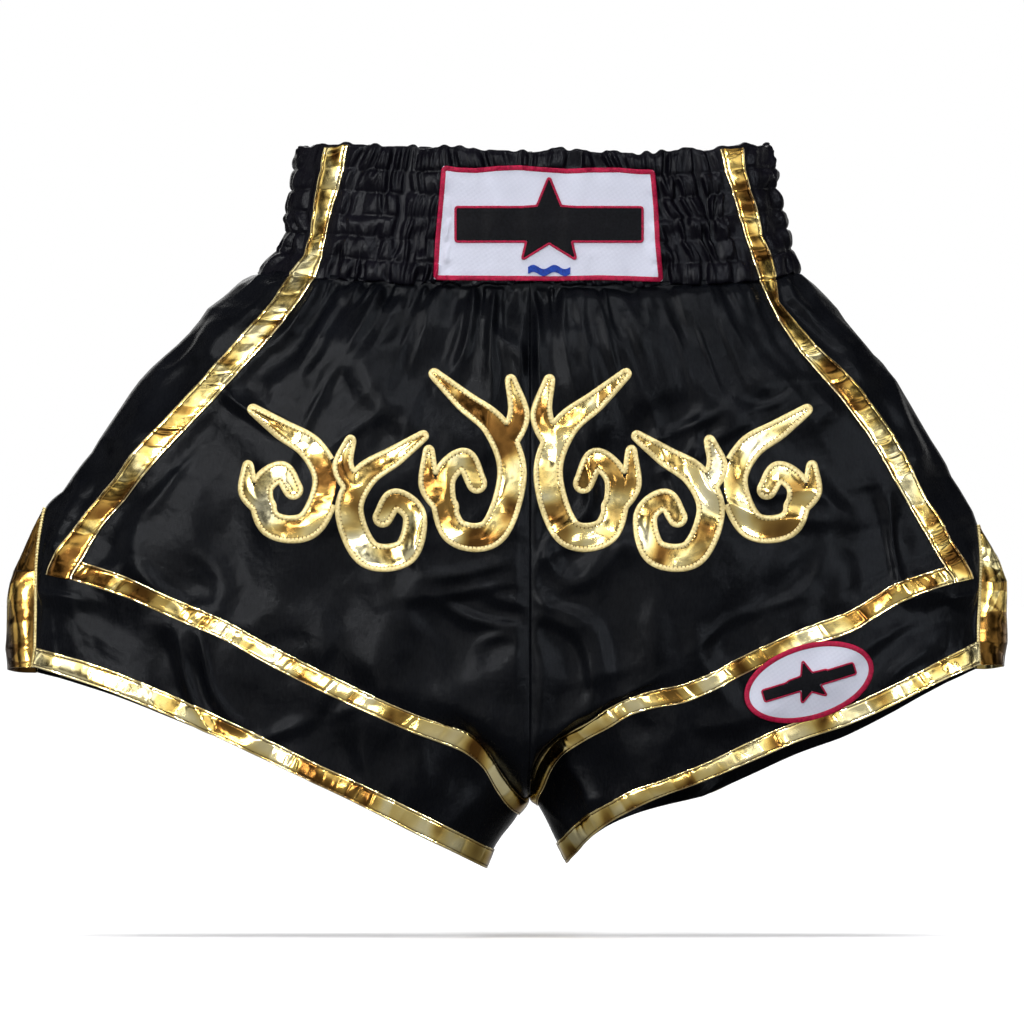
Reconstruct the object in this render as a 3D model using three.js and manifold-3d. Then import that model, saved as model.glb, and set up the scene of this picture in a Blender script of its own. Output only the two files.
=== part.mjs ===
// Muay Thai boxing shorts: black satin shell, gold foil tapes, shirred elastic waistband,
// gold side vents. Millimetres, +Z up, worn upright: the front faces -Y, the wearer's left is +X.
// Origin: middle of the overall width and depth, level with the lowest hem corner.
import * as THREE from "three";
import Module from "manifold-3d";
import { mergeVertices } from "three/addons/utils/BufferGeometryUtils.js";

const wasm = await Module();
wasm.setup();

// ---------------------------------------------------------------- driving dimensions
const SEAM_GAP = 0.2; // each piece stops this far short of a shared seam line
const FOLD_GAP = 0.3; // seat and leg each stop this far short of the groin fold
const CLOTH = 1.0; // satin with its allowances, solid thickness
const TAPE_UNDER = 0.3; // underside and top of the foil tape, above the satin
const TAPE_TOP = 0.9;
const CENTRE_X = 13.3; // centre front and back seams

// Half depths of the opened garment.
const WAIST_DEPTH = 50;
const BAND_DEPTH = 54;
const HIP_DEPTH = 66;
const SEAT_DEPTH = 70;
const CREASE_DEPTH = 69;
const THIGH_DEPTH = 67;
const HEM_DEPTH = 62;

const WAIST_FLAT = 44; // the back lies flat at this y
const SEAT_FLAT = 62;
const GIRTH_CURVE = 2.4; // exponent of the rounding from centre to side fold
const RISE_CURVE = 2.2; // exponent of the U of the crotch seam
const INSEAM_TURN = 0.34; // share of the leg's width over which it closes to the inseam
// How far the back hem hangs below the front hem, at equal steps from inseam to side fold.
const BACK_DROP = { right: [0, 1.5, 3, 4], left: [0, 12, 9, 3] };

// Level lines in x, z. run: from the centre seam (or inseam) to the inner edge of the side tape;
// outer: the tape's outer edge; fold: the side fold. "left" is the wearer's left.
const OUTLINE = {
  top: {
    right: {
      run: [[13.3, 442.1], [-5.3, 442.7], [-27, 444.5], [-67.3, 445.5], [-98.3, 447.6]],
      outer: [-113.2, 447.6], fold: [-129.9, 445.8],
    },
    left: {
      run: [[13.3, 442.1], [35, 442.7], [69.1, 441.4], [106.3, 442.1], [129.9, 445.8]],
      outer: [144.2, 447.3], fold: [162.8, 446.7],
    },
  },
  band_bottom: {
    right: {
      run: [[13.3, 360.2], [-33.2, 360.8], [-79.7, 362.1], [-118.7, 365.2]],
      outer: [-134.8, 366.4], fold: [-152.8, 368.3],
    },
    left: {
      run: [[13.3, 360.2], [59.8, 359.6], [106.3, 360.8], [154.1, 363.3]],
      outer: [167.1, 365.2], fold: [180.7, 369.5],
    },
  },
  hip_upper: {
    right: {
      run: [[13.3, 319.9], [-39.4, 319.9], [-98.3, 321.8], [-150.3, 323.6]],
      outer: [-168.9, 324.9], fold: [-205.5, 325.5],
    },
    left: {
      run: [[13.3, 319.9], [66, 319.9], [118.7, 320.5], [176.4, 322.4]],
      outer: [189.4, 324.3], fold: [221.7, 324.9],
    },
  },
  hip_mid: {
    right: {
      run: [[13.3, 271.6], [-51.8, 271.6], [-123.1, 275.3], [-188.8, 282.1]],
      outer: [-208, 283.3], fold: [-243.3, 282.1],
    },
    left: {
      run: [[13.3, 271.6], [75.3, 271.6], [143.5, 274.7], [209.2, 281.5]],
      outer: [228.5, 283.3], fold: [253.9, 280.2],
    },
  },
  hip_lower: {
    right: {
      run: [[13.3, 191], [-54.9, 198.4], [-135.5, 223.2], [-215.4, 252.3]],
      outer: [-234.1, 254.8], fold: [-265.7, 249.2],
    },
    left: {
      run: [[13.3, 191], [81.5, 198.4], [155.9, 223.2], [226, 253.6]],
      outer: [245.8, 255.4], fold: [268.8, 251.7],
    },
  },
  crease: {
    right: {
      run: [[13.3, 82.5], [-253.6, 207.9]],
      outer: [-266.3, 213.9], fold: [-287.4, 223.8],
    },
    left: {
      run: [[13.3, 82.5], [261.6, 199.4]],
      outer: [272.8, 204.7], fold: [291.1, 213.3],
    },
  },
  mid_upper: {
    right: {
      run: [
        [13.3, 44], [11.5, 43.4], [5.3, 47.7], [-4, 60.1], [-12.7, 73.2], [-20.1, 81.8],
        [-27.6, 86.8], [-42.5, 91.8], [-57.4, 96.7], [-87.1, 109.7], [-116.9, 124],
        [-146.6, 138.9], [-176.4, 155], [-206.2, 167.4], [-235.9, 181], [-250.8, 186],
        [-263.8, 190],
      ],
      outer: [-281.2, 193.4], fold: [-291.7, 196.5],
    },
    left: {
      run: [
        [13.3, 44], [13.9, 49.6], [15.8, 59.5], [20.1, 68.8], [30.1, 80.6], [46.8, 89.9],
        [61.7, 99.8], [76.6, 107.3], [91.5, 111.6], [106.3, 114.7], [121.2, 120.3],
        [151, 135.2], [180.7, 148.8], [210.5, 160], [225.4, 168.6], [240.2, 177.3],
        [255.1, 182.3], [269.4, 186.6],
      ],
      outer: [283, 189.1], fold: [292.3, 191],
    },
  },
  mid_lower: {
    right: {
      run: [
        [6.5, 32.9], [-0.3, 38.4], [-8.4, 49], [-17.1, 63.9], [-27.6, 72.5], [-42.5, 78.7],
        [-57.4, 84.3], [-87.1, 97.3], [-116.9, 111], [-146.6, 125.9], [-176.4, 142.6],
        [-206.2, 155], [-235.9, 168], [-250.8, 173], [-269.4, 178.6],
      ],
      outer: [-285.5, 181.7], fold: [-292.3, 184.8],
    },
    left: {
      run: [
        [17.7, 38.4], [20.1, 47.1], [24.5, 58.9], [33.2, 70.1], [46.8, 79.4], [61.7, 87.4],
        [76.6, 96.1], [91.5, 100.4], [106.3, 102.9], [121.2, 108.5], [151, 123.4],
        [180.7, 136.4], [210.5, 146.3], [225.4, 155], [240.2, 163.7], [255.1, 170.5],
        [275, 176.7],
      ],
      outer: [286.8, 179.2], fold: [291.7, 177.9],
    },
  },
  hem_upper: {
    right: {
      run: [
        [-9, 11.8], [-27.6, 21.7], [-57.4, 36.9], [-87.1, 51.5], [-116.9, 65.1],
        [-146.6, 80], [-176.4, 94.2], [-206.2, 107.3], [-235.9, 119.7], [-250.8, 125.2],
        [-264.4, 129.6],
      ],
      outer: [-279.3, 133.6], fold: [-292.9, 137],
    },
    left: {
      run: [
        [30.1, 15.5], [35, 21.7], [46.8, 32.9], [61.7, 41.5], [76.6, 49.6], [91.5, 54.6],
        [121.2, 66.3], [151, 80.6], [180.7, 93], [210.5, 102.3], [240.2, 115.9],
        [255.1, 123.4], [271.9, 132.1],
      ],
      outer: [281.2, 136.4], fold: [290.5, 140.7],
    },
  },
  hem_lower: {
    right: {
      run: [
        [-13.9, 0], [-27.6, 7.4], [-57.4, 22.3], [-87.1, 37.8], [-116.9, 52.1],
        [-146.6, 66.3], [-176.4, 80.6], [-206.2, 93.6], [-235.9, 106], [-250.8, 111.6],
        [-265.7, 116.6],
      ],
      outer: [-280.6, 121.5], fold: [-294.2, 125.2],
    },
    left: {
      run: [
        [36.3, 3.1], [41.9, 10.5], [46.8, 16.1], [61.7, 28.5], [76.6, 37.2], [91.5, 44],
        [121.2, 55.2], [151, 67.6], [180.7, 80], [210.5, 89.9], [240.2, 102.9],
        [255.1, 110.4], [271.9, 118.4],
      ],
      outer: [281.2, 122.1], fold: [291.1, 126.5],
    },
  },
};

// Seat rows, waist to crease: level line above, level line below, share of the way down
// between them, half depth, flat of the back.
const SEAT_ROWS = [
  ["top", "top", 0, WAIST_DEPTH, WAIST_FLAT],
  ["band_bottom", "band_bottom", 0, BAND_DEPTH, WAIST_FLAT],
  ["band_bottom", "hip_upper", 0.012, BAND_DEPTH, WAIST_FLAT],
  ["band_bottom", "hip_upper", 0.5, 62, 56],
  ["hip_upper", "hip_upper", 0, HIP_DEPTH, SEAT_FLAT],
  ["hip_upper", "hip_mid", 0.5, 69, SEAT_FLAT],
  ["hip_mid", "hip_mid", 0, SEAT_DEPTH, SEAT_FLAT],
  ["hip_mid", "hip_lower", 0.5, SEAT_DEPTH, SEAT_FLAT],
  ["hip_lower", "hip_lower", 0, SEAT_DEPTH, SEAT_FLAT],
  ["hip_lower", "crease", 0.5, SEAT_DEPTH, SEAT_FLAT],
  ["crease", "crease", 0, CREASE_DEPTH, SEAT_FLAT],
];
const PANEL_TOP = 2; // seat row just under the waistband
const CREASE = SEAT_ROWS.length - 1;

// Leg rows, crease to hem: line above, line below, share of the way down, half depth,
// half width of the side vent, then how far the vent bulges on the right and on the left.
const LEG_ROWS = [
  ["crease", "mid_upper", 0, CREASE_DEPTH, 0, 0, 0],
  ["crease", "mid_upper", 0.3, 68.5, 3, 4, 4],
  ["crease", "mid_upper", 0.6, 68, 5, 8, 8],
  ["crease", "mid_upper", 0.85, 67.5, 7, 11, 11],
  ["mid_upper", "mid_upper", 0, THIGH_DEPTH, 9, 14, 14],
  ["mid_lower", "mid_lower", 0, 66, 12, 18, 19],
  ["mid_lower", "hem_upper", 0.5, 65, 16, 19, 20],
  ["hem_upper", "hem_upper", 0, 63, 20, 18.6, 19],
  ["hem_lower", "hem_lower", 0, HEM_DEPTH, 24, 17.4, 16.7],
];
// Leg rows at the edges of the mid tape and of the hem tape.
const MID_UPPER = 4;
const MID_LOWER = 5;
const HEM_UPPER = 7;
const HEM_LOWER = 8;

// Stations along a level line, as shares of the run and of the stretch from tape to side fold.
const RUN_STEPS = [0, 0.045, 0.1, 0.155, 0.22, 0.32, 0.45, 0.6, 0.8, 1];
const FOLD_STEPS = [0.5, 0.85, 1];
const TAPE_INNER = RUN_STEPS.length - 1; // station indexes
const TAPE_OUTER = RUN_STEPS.length;
const FOLD = RUN_STEPS.length + FOLD_STEPS.length;

// Columns of the seat ring, which starts at the right fold and crosses the front first.
const RIGHT_FOLD = 0;
const CENTRE_FRONT = FOLD;
const LEFT_FOLD = 2 * FOLD;
const CENTRE_BACK = 3 * FOLD;
const SEAT_RING = 4 * FOLD;

// A leg ring runs from the front inseam round the side vent to the back inseam.
const VENT_COLUMNS = 3; // columns inside the vent, between the front and back folds
const LEG_RING = 2 * (FOLD + 1) + VENT_COLUMNS;
const backColumn = (station) => LEG_RING - 1 - station;

// ---------------------------------------------------------------- materials
const SATIN_BLACK = 0x16181b;
const FOIL_GOLD = 0xc79a3f;
const SATIN = { color: SATIN_BLACK, roughness: 0.45 };
const FACING = { color: SATIN_BLACK, roughness: 0.6 };
const ELASTIC = { color: 0xdcdcd6, roughness: 0.9 };
const CORD = { color: 0xe8e6df, roughness: 0.85 };
const CORD_TIP = { color: 0x1d1d20, roughness: 0.35 };
const LABEL = { color: 0xf2f2ee, roughness: 0.8 };
const TAPE = { color: FOIL_GOLD, roughness: 0.3, metalness: 0.7 };
const VENT = { color: FOIL_GOLD, roughness: 0.35, metalness: 0.6 };
const FLAME_FOIL = { color: FOIL_GOLD, roughness: 0.25, metalness: 0.8 };
const THREAD = { color: 0xd8c078, roughness: 0.6 };
const WHITE = { color: 0xe2e5f2, roughness: 0.75 };
const RED = { color: 0xaa1a3c, roughness: 0.7 };
const INK = { color: 0x10151c, roughness: 0.7 };
const BLUE = { color: 0x1f56b4, roughness: 0.7 };

const root = new THREE.Group();

function add(name, geometry, look) {
  geometry.computeVertexNormals();
  const mesh = new THREE.Mesh(geometry, new THREE.MeshStandardMaterial({ metalness: 0, ...look }));
  mesh.name = name;
  root.add(mesh);
}

// ---------------------------------------------------------------- level lines
const lerp = (a, b, t) => a + (b - a) * t;
const mix = (p, q, t) => p.map((value, k) => lerp(value, q[k], t));
const blendRow = (p, q, t) => p.map((point, k) => mix(point, q[k], t));

// Points [x, z] of a level line, from the centre to the side fold.
function stations(line, side) {
  const { run, outer, fold } = OUTLINE[line][side];
  const lengths = [0];
  for (let k = 1; k < run.length; k++) {
    const step = Math.hypot(run[k][0] - run[k - 1][0], run[k][1] - run[k - 1][1]);
    lengths.push(lengths[k - 1] + step);
  }
  const total = lengths[lengths.length - 1];
  const onRun = RUN_STEPS.map((share) => {
    const target = share * total;
    let k = 1;
    while (k < lengths.length - 1 && lengths[k] < target) k++;
    const t = (target - lengths[k - 1]) / (lengths[k] - lengths[k - 1]);
    return mix(run[k - 1], run[k], Math.min(1, t));
  });
  return [...onRun, outer, ...FOLD_STEPS.map((share) => mix(outer, fold, share))];
}

const stationsBetween = (above, below, t, side) =>
  blendRow(stations(above, side), stations(below, side), t);

// Share of the width from the centre (0) to the side fold (1).
const widthShare = (line, i) =>
  Math.min(1, Math.abs(line[i][0] - line[0][0]) / Math.abs(line[FOLD][0] - line[0][0]));
const girth = (share) => Math.sqrt(Math.max(0, 1 - Math.pow(share, GIRTH_CURVE)));

function seatRing([above, below, t, depth, flat]) {
  const right = stationsBetween(above, below, t, "right");
  const left = stationsBetween(above, below, t, "left");
  const halfDepth = (line, i) => depth * girth(widthShare(line, i));
  const front = (line, i) => [line[i][0], -halfDepth(line, i), line[i][1]];
  const back = (line, i) => [line[i][0], Math.min(flat, halfDepth(line, i)), line[i][1]];
  const ring = [];
  for (let k = 0; k < FOLD; k++) ring.push(front(right, FOLD - k));
  for (let k = 0; k < FOLD; k++) ring.push(front(left, k));
  for (let k = 0; k < FOLD; k++) ring.push(back(left, FOLD - k));
  for (let k = 0; k < FOLD; k++) ring.push(back(right, k));
  if (above === "crease") ring.forEach((point) => (point[2] += FOLD_GAP));
  return ring;
}

function legRing(side, row) {
  const [above, below, t, depth, ventHalf, bulgeRight, bulgeLeft] = LEG_ROWS[row];
  const line = stationsBetween(above, below, t, side);
  const closing = row < MID_UPPER ? t : 1; // 0 open at the crease, 1 shut at the inseam
  const [outward, bulge] = side === "left" ? [1, bulgeLeft] : [-1, bulgeRight];
  const halfDepth = (i) => {
    const share = widthShare(line, i);
    const inseam = closing * Math.max(0, 1 - share / INSEAM_TURN);
    const open = Math.pow(Math.max(0, 1 - Math.pow(inseam, RISE_CURVE)), 1 / RISE_CURVE);
    return ventHalf * open + (depth - ventHalf) * girth(share) * open;
  };
  const drop = (i) => {
    if (row <= MID_LOWER) return 0;
    const drops = BACK_DROP[side];
    const along = widthShare(line, i) * (drops.length - 1);
    const k = Math.min(drops.length - 2, Math.floor(along));
    const full = lerp(drops[k], drops[k + 1], along - k);
    return full * (row - MID_LOWER) / (HEM_LOWER - MID_LOWER);
  };
  const ring = [];
  for (let i = 0; i <= FOLD; i++) ring.push([line[i][0], -halfDepth(i), line[i][1]]);
  for (let column = 1; column <= VENT_COLUMNS; column++) {
    const share = column / (VENT_COLUMNS + 1);
    const angle = share * Math.PI;
    ring.push([
      line[FOLD][0] + outward * bulge * Math.sin(angle),
      -ventHalf * Math.cos(angle),
      line[FOLD][1] - drop(FOLD) * share,
    ]);
  }
  for (let i = FOLD; i >= 0; i--) {
    const y = Math.min(halfDepth(i), Math.max(ventHalf, SEAT_FLAT));
    ring.push([line[i][0], y, line[i][1] - drop(i)]);
  }
  if (row === 0) ring.forEach((point) => (point[2] -= FOLD_GAP));
  return ring;
}

// ---------------------------------------------------------------- surfaces: points and normals
const vector = (point) => new THREE.Vector3(...point);

// Normal at each grid point, summed over the faces that touch it.
function gridNormals(points, wrap, flip) {
  const columns = points[0].length;
  const sums = points.map((row) => row.map(() => new THREE.Vector3()));
  for (let j = 0; j < points.length - 1; j++)
    for (let i = 0; i < (wrap ? columns : columns - 1); i++) {
      const next = (i + 1) % columns;
      const corners = [[j, i], [j, next], [j + 1, next], [j + 1, i]];
      const [a, b, c, d] = corners.map(([row, column]) => vector(points[row][column]));
      const normal = c.sub(a).cross(d.sub(b));
      if (flip) normal.negate();
      for (const [row, column] of corners) sums[row][column].add(normal);
    }
  // a point whose faces have no area faces the front
  return sums.map((row) => row.map((n) => (n.lengthSq() > 0 ? n.normalize() : n.set(0, -1, 0))));
}

function seatSurface() {
  const points = SEAT_ROWS.map(seatRing);
  const normals = gridNormals(points, true, true);
  for (const row of normals) {
    for (const k of [CENTRE_FRONT, CENTRE_BACK]) row[k].setX(0).normalize();
    for (const k of [RIGHT_FOLD, LEFT_FOLD]) row[k].setY(0).normalize();
  }
  return { points, normals };
}
const seat = seatSurface();

function legSurface(side) {
  const isLeft = side === "left";
  const points = LEG_ROWS.map((_, row) => legRing(side, row));
  const normals = gridNormals(points, false, isLeft);
  normals.forEach((row, j) => {
    for (const k of [0, LEG_RING - 1]) {
      if (j < MID_UPPER) row[k].x = 0;
      else if (j === MID_UPPER) row[k].set(0, 0, -1);
      else row[k].set(isLeft ? -1 : 1, 0, 0);
      row[k].normalize();
    }
  });
  // same direction as the seat where they meet
  const crease = seat.normals[CREASE];
  for (let i = 0; i <= FOLD; i++) {
    const front = isLeft ? CENTRE_FRONT + i : CENTRE_FRONT - i;
    const back = isLeft ? CENTRE_BACK - i : (CENTRE_BACK + i) % SEAT_RING;
    normals[0][i].copy(crease[front]);
    normals[0][backColumn(i)].copy(crease[back]);
  }
  return { points, normals };
}
const legs = { left: legSurface("left"), right: legSurface("right") };

// Rows j0 to j1 and columns i0 to i1 of a surface; columns run on past the end of a ring.
function cut({ points, normals }, j0, j1, i0, i1) {
  const pick = (grid) => grid.slice(j0, j1 + 1).map((row) => {
    const picked = [];
    for (let i = i0; i <= i1; i++) picked.push(row[i % row.length]);
    return picked;
  });
  return { points: pick(points), normals: pick(normals) };
}

// Rings of the waistband at shares of its height, from the top down.
function bandSurface(shares) {
  const [topNormals, bottomNormals] = seat.normals;
  return {
    points: shares.map((t) => blendRow(seat.points[0], seat.points[1], t)),
    normals: shares.map((t) =>
      topNormals.map((n, i) => n.clone().lerp(bottomNormals[i], t).normalize())),
  };
}

// ---------------------------------------------------------------- sheets with thickness
// p, moved a seam gap towards q.
function pull(p, q) {
  const distance = Math.max(p.distanceTo(q), 1e-6);
  return p.clone().lerp(q, Math.min(0.45, SEAM_GAP / distance));
}

function trimEdges(points, wrap, trimTop, trimBottom) {
  const grid = points.map((row) => row.map(vector));
  const last = grid.length - 1;
  const end = grid[0].length - 1;
  const trimmed = grid.map((row) => [...row]);
  for (let i = 0; i <= end; i++) {
    if (trimTop) trimmed[0][i] = pull(grid[0][i], grid[1][i]);
    if (trimBottom) trimmed[last][i] = pull(grid[last][i], grid[last - 1][i]);
  }
  if (!wrap)
    for (const row of trimmed)
      [row[0], row[end]] = [pull(row[0], row[1]), pull(row[end], row[end - 1])];
  return trimmed;
}

function signedVolume(positions, indices) {
  const [a, b, c] = [0, 1, 2].map(() => new THREE.Vector3());
  let sum = 0;
  for (let k = 0; k < indices.length; k += 3) {
    a.fromArray(positions, indices[k] * 3);
    b.fromArray(positions, indices[k + 1] * 3);
    c.fromArray(positions, indices[k + 2] * 3);
    sum += a.dot(b.cross(c));
  }
  return sum;
}

// Closed sheet between two offsets along the normals: numbers, or functions of the row.
function sheet(surface, low, high, { wrap = false, trimTop = true, trimBottom = true } = {}) {
  const grid = trimEdges(surface.points, wrap, trimTop, trimBottom);
  const rows = grid.length;
  const columns = grid[0].length;
  const positions = [];
  for (const offset of [low, high])
    for (let j = 0; j < rows; j++) {
      const distance = typeof offset === "function" ? offset(j) : offset;
      for (let i = 0; i < columns; i++) {
        const point = grid[j][i].clone().addScaledVector(surface.normals[j][i], distance);
        positions.push(point.x, point.y, point.z);
      }
    }

  const lowAt = (j, i) => j * columns + (i % columns);
  const highAt = (j, i) => rows * columns + lowAt(j, i);
  const indices = [];
  const quad = (a, b, c, d) => indices.push(a, b, c, a, c, d);
  const lastRow = rows - 1;
  const end = columns - 1;
  const spans = wrap ? columns : end;
  for (let j = 0; j < lastRow; j++)
    for (let i = 0; i < spans; i++) {
      // both faces are split along the same diagonal
      quad(highAt(j, i), highAt(j, i + 1), highAt(j + 1, i + 1), highAt(j + 1, i));
      quad(lowAt(j, i), lowAt(j + 1, i), lowAt(j + 1, i + 1), lowAt(j, i + 1));
    }
  for (let i = 0; i < spans; i++) {
    quad(lowAt(0, i), lowAt(0, i + 1), highAt(0, i + 1), highAt(0, i));
    quad(highAt(lastRow, i), highAt(lastRow, i + 1), lowAt(lastRow, i + 1), lowAt(lastRow, i));
  }
  if (!wrap)
    for (let j = 0; j < lastRow; j++) {
      quad(lowAt(j + 1, 0), lowAt(j, 0), highAt(j, 0), highAt(j + 1, 0));
      quad(lowAt(j, end), lowAt(j + 1, end), highAt(j + 1, end), highAt(j, end));
    }
  if (signedVolume(positions, indices) < 0)
    for (let k = 0; k < indices.length; k += 3)
      [indices[k + 1], indices[k + 2]] = [indices[k + 2], indices[k + 1]];

  const geometry = new THREE.BufferGeometry();
  geometry.setAttribute("position", new THREE.Float32BufferAttribute(positions, 3));
  geometry.setIndex(indices);
  return geometry;
}

// ---------------------------------------------------------------- solids
function toSolid(geometry) {
  const loose = geometry.index ? geometry.toNonIndexed() : geometry;
  const bare = new THREE.BufferGeometry();
  bare.setAttribute("position", loose.getAttribute("position"));
  const merged = mergeVertices(bare, 1e-3);
  return new wasm.Manifold(new wasm.Mesh({
    numProp: 3,
    vertProperties: new Float32Array(merged.attributes.position.array),
    triVerts: new Uint32Array(merged.index.array),
  }));
}

function toGeometry(solid) {
  const mesh = solid.getMesh();
  const geometry = new THREE.BufferGeometry();
  const positions = new Float32Array(mesh.vertProperties);
  geometry.setAttribute("position", new THREE.BufferAttribute(positions, 3));
  geometry.setIndex(new THREE.BufferAttribute(new Uint32Array(mesh.triVerts), 1));
  return geometry;
}

const PRISM_DEPTH = 95; // reaches from y = 0 past the front of the shorts

// Prism with an x, z outline, running from y = 0 towards the front.
function prism(outline) {
  const shape = new THREE.Shape(outline.map(([x, z]) => new THREE.Vector2(x, z)));
  const options = { depth: PRISM_DEPTH, bevelEnabled: false };
  const geometry = new THREE.ExtrudeGeometry(shape, options);
  geometry.rotateX(Math.PI / 2);
  return toSolid(geometry);
}

const frontSeat = (j0, j1, low, high) =>
  toSolid(sheet(cut(seat, j0, j1, RIGHT_FOLD, LEFT_FOLD), low, high));

// ---------------------------------------------------------------- waistband
const CHANNELS = 6; // rows of shirring
const CHANNEL_PUFF = 0.9; // how far each row stands out
const CHANNEL_CORE = [-2.8, -1.4]; // offsets of the elastic and cord inside the channels
const CORD_X = 20; // cord ends, either side of the centre front
const HOLE_Z = OUTLINE.top.left.run[0][1] - 8;

function addWaistband() {
  const cells = CHANNELS * 2;
  const ridges = bandSurface(Array.from({ length: cells + 1 }, (_, k) => k / cells));
  const puff = (j) => (j % 2 ? CHANNEL_PUFF : 0);
  add("waistband_cover", sheet(ridges, -0.8, puff, { wrap: true, trimTop: false }), SATIN);

  const untrimmed = { wrap: true, trimTop: false, trimBottom: false };
  const elastic = sheet(bandSurface([0.17, 0.565, 0.96]), ...CHANNEL_CORE, untrimmed);
  add("waist_elastic", elastic, ELASTIC);

  const facingRows = bandSurface([0.004, 0.17, 0.565, 0.96, 0.99]);
  let facing = toSolid(sheet(facingRows, -4.2, -3.4, untrimmed));
  for (const sign of [-1, 1]) {
    const hole = new THREE.CylinderGeometry(3.8, 3.8, 20, 20);
    hole.translate(CENTRE_X + sign * CORD_X, -WAIST_DEPTH + 4, HOLE_Z);
    facing = facing.subtract(toSolid(hole));
  }
  add("waistband_facing", toGeometry(facing), FACING);
}

// Flat cord: round inside the top channel, with two ends hanging behind the front.
function addDrawcord() {
  const width = 6;
  const thickness = 1.6;
  const hang = 118;
  const tipRadius = 3.6;
  const tipLength = 14;
  const tipGap = 0.4;
  const stop = 3; // columns left free either side of the centre front
  const band = bandSurface([0.06, 0.135]);
  const loop = cut(band, 0, 1, CENTRE_FRONT + stop, CENTRE_FRONT + SEAT_RING - stop);
  add("drawcord_loop", sheet(loop, ...CHANNEL_CORE), CORD);

  const y = -WAIST_DEPTH + 7;
  const top = HOLE_Z + 3;
  for (const [name, sign] of [["left", 1], ["right", -1]]) {
    const x = CENTRE_X + sign * CORD_X;
    const strip = new THREE.BoxGeometry(width, thickness, hang);
    strip.translate(x, y, top - hang / 2);
    add("drawcord_end_" + name, strip, CORD);
    const tip = new THREE.CylinderGeometry(tipRadius, tipRadius, tipLength, 16);
    tip.rotateX(Math.PI / 2);
    tip.translate(x, y, top - hang - tipGap - tipLength / 2);
    add("drawcord_tip_" + name, tip, CORD_TIP);
  }
}

// Inside the back of the waistband.
function addSizeLabel() {
  const label = new THREE.BoxGeometry(42, 0.5, 26);
  label.translate(CENTRE_X, WAIST_FLAT - 4.9, 400);
  add("size_label", label, LABEL);
}

// ---------------------------------------------------------------- upper panels and side tapes
function addUpperPanels() {
  for (const [name, first, last] of [
    ["front_panel_right", RIGHT_FOLD, CENTRE_FRONT],
    ["front_panel_left", CENTRE_FRONT, LEFT_FOLD],
    ["back_panel_left", LEFT_FOLD, CENTRE_BACK],
    ["back_panel_right", CENTRE_BACK, SEAT_RING],
  ]) add(name, sheet(cut(seat, PANEL_TOP, CREASE, first, last), -CLOTH, 0), SATIN);
}

function addUpperTapes() {
  // the tape rides over the shirring of the waistband
  const lift = (base) => (j) => base + (j <= PANEL_TOP ? CHANNEL_PUFF : 0);
  for (const [name, column] of [
    ["front_right", CENTRE_FRONT - TAPE_OUTER],
    ["front_left", CENTRE_FRONT + TAPE_INNER],
    ["back_left", CENTRE_BACK - TAPE_OUTER],
    ["back_right", CENTRE_BACK + TAPE_INNER],
  ]) {
    const strip = cut(seat, 0, CREASE, column, column + 1);
    add(`side_tape_${name}_upper`, sheet(strip, lift(TAPE_UNDER), lift(TAPE_TOP)), TAPE);
  }
}

// ---------------------------------------------------------------- legs
const BINDING_WIDTH = 3.4;

// Narrow binding on the panel's edge beside the vent.
function ventBinding(leg, edge, inner) {
  const points = leg.points.slice(1).map((row) => {
    const from = vector(row[edge]);
    const towards = vector(row[inner]);
    const share = Math.min(0.7, BINDING_WIDTH / from.distanceTo(towards));
    return [from.lerp(towards, share).toArray(), row[edge]];
  });
  const normals = leg.normals.slice(1).map((row) =>
    [row[edge].clone().lerp(row[inner], 0.3).normalize(), row[edge]]);
  return sheet({ points, normals }, 0.3, 1.5);
}

function addLeg(side) {
  const leg = legs[side];
  const cloth = (j0, i0, i1) => sheet(cut(leg, j0, HEM_LOWER, i0, i1), -CLOTH, 0);
  add("front_leg_panel_" + side, cloth(0, 0, FOLD), SATIN);
  add("back_leg_panel_" + side, cloth(0, backColumn(FOLD), backColumn(0)), SATIN);
  add("side_vent_" + side, cloth(1, FOLD, backColumn(FOLD)), VENT);
  for (const face of ["front", "back"]) {
    const isFront = face === "front";
    const where = `${face}_${side}`;
    const tape = (name, j0, j1, a, b) => {
      const columns = isFront ? [a, b] : [backColumn(b), backColumn(a)];
      add(name, sheet(cut(leg, j0, j1, ...columns), TAPE_UNDER, TAPE_TOP), TAPE);
    };
    tape(`side_tape_${where}_lower`, 0, MID_LOWER, TAPE_INNER, TAPE_OUTER);
    tape(`mid_tape_${where}`, MID_UPPER, MID_LOWER, 0, TAPE_INNER);
    tape(`hem_tape_${where}`, HEM_UPPER, HEM_LOWER, 0, TAPE_OUTER);
    const [edge, inner] = isFront ? [FOLD, FOLD - 1] : [backColumn(FOLD), backColumn(FOLD - 1)];
    add("vent_binding_" + where, ventBinding(leg, edge, inner), VENT);
  }
}

// ---------------------------------------------------------------- flame curls on the front
// Brush strokes of one curl, in units of its size: centre line in x, z, half widths along it,
// steps of the outline. Each curl is the sweep with one or both tongues.
const TONGUE_WIDTHS = [0.11, 0.095, 0.012];
const STROKES = {
  sweep: {
    path: [
      [0.66, 1.05], [0.2, 0.74], [-0.3, 0.42], [-0.54, -0.12], [-0.24, -0.78],
      [0.36, -0.76], [0.52, -0.2], [0.2, 0.06], [0, -0.22],
    ],
    widths: [0.012, 0.085, 0.128, 0.148, 0.152, 0.14, 0.115, 0.1, 0.08],
    steps: 15,
  },
  A: { path: [[-0.42, 0.22], [-0.64, 0.56], [-0.52, 0.98]], widths: TONGUE_WIDTHS, steps: 5 },
  B: { path: [[0.46, -0.5], [0.72, -0.24], [0.74, 0.16]], widths: TONGUE_WIDTHS, steps: 5 },
};
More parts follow.
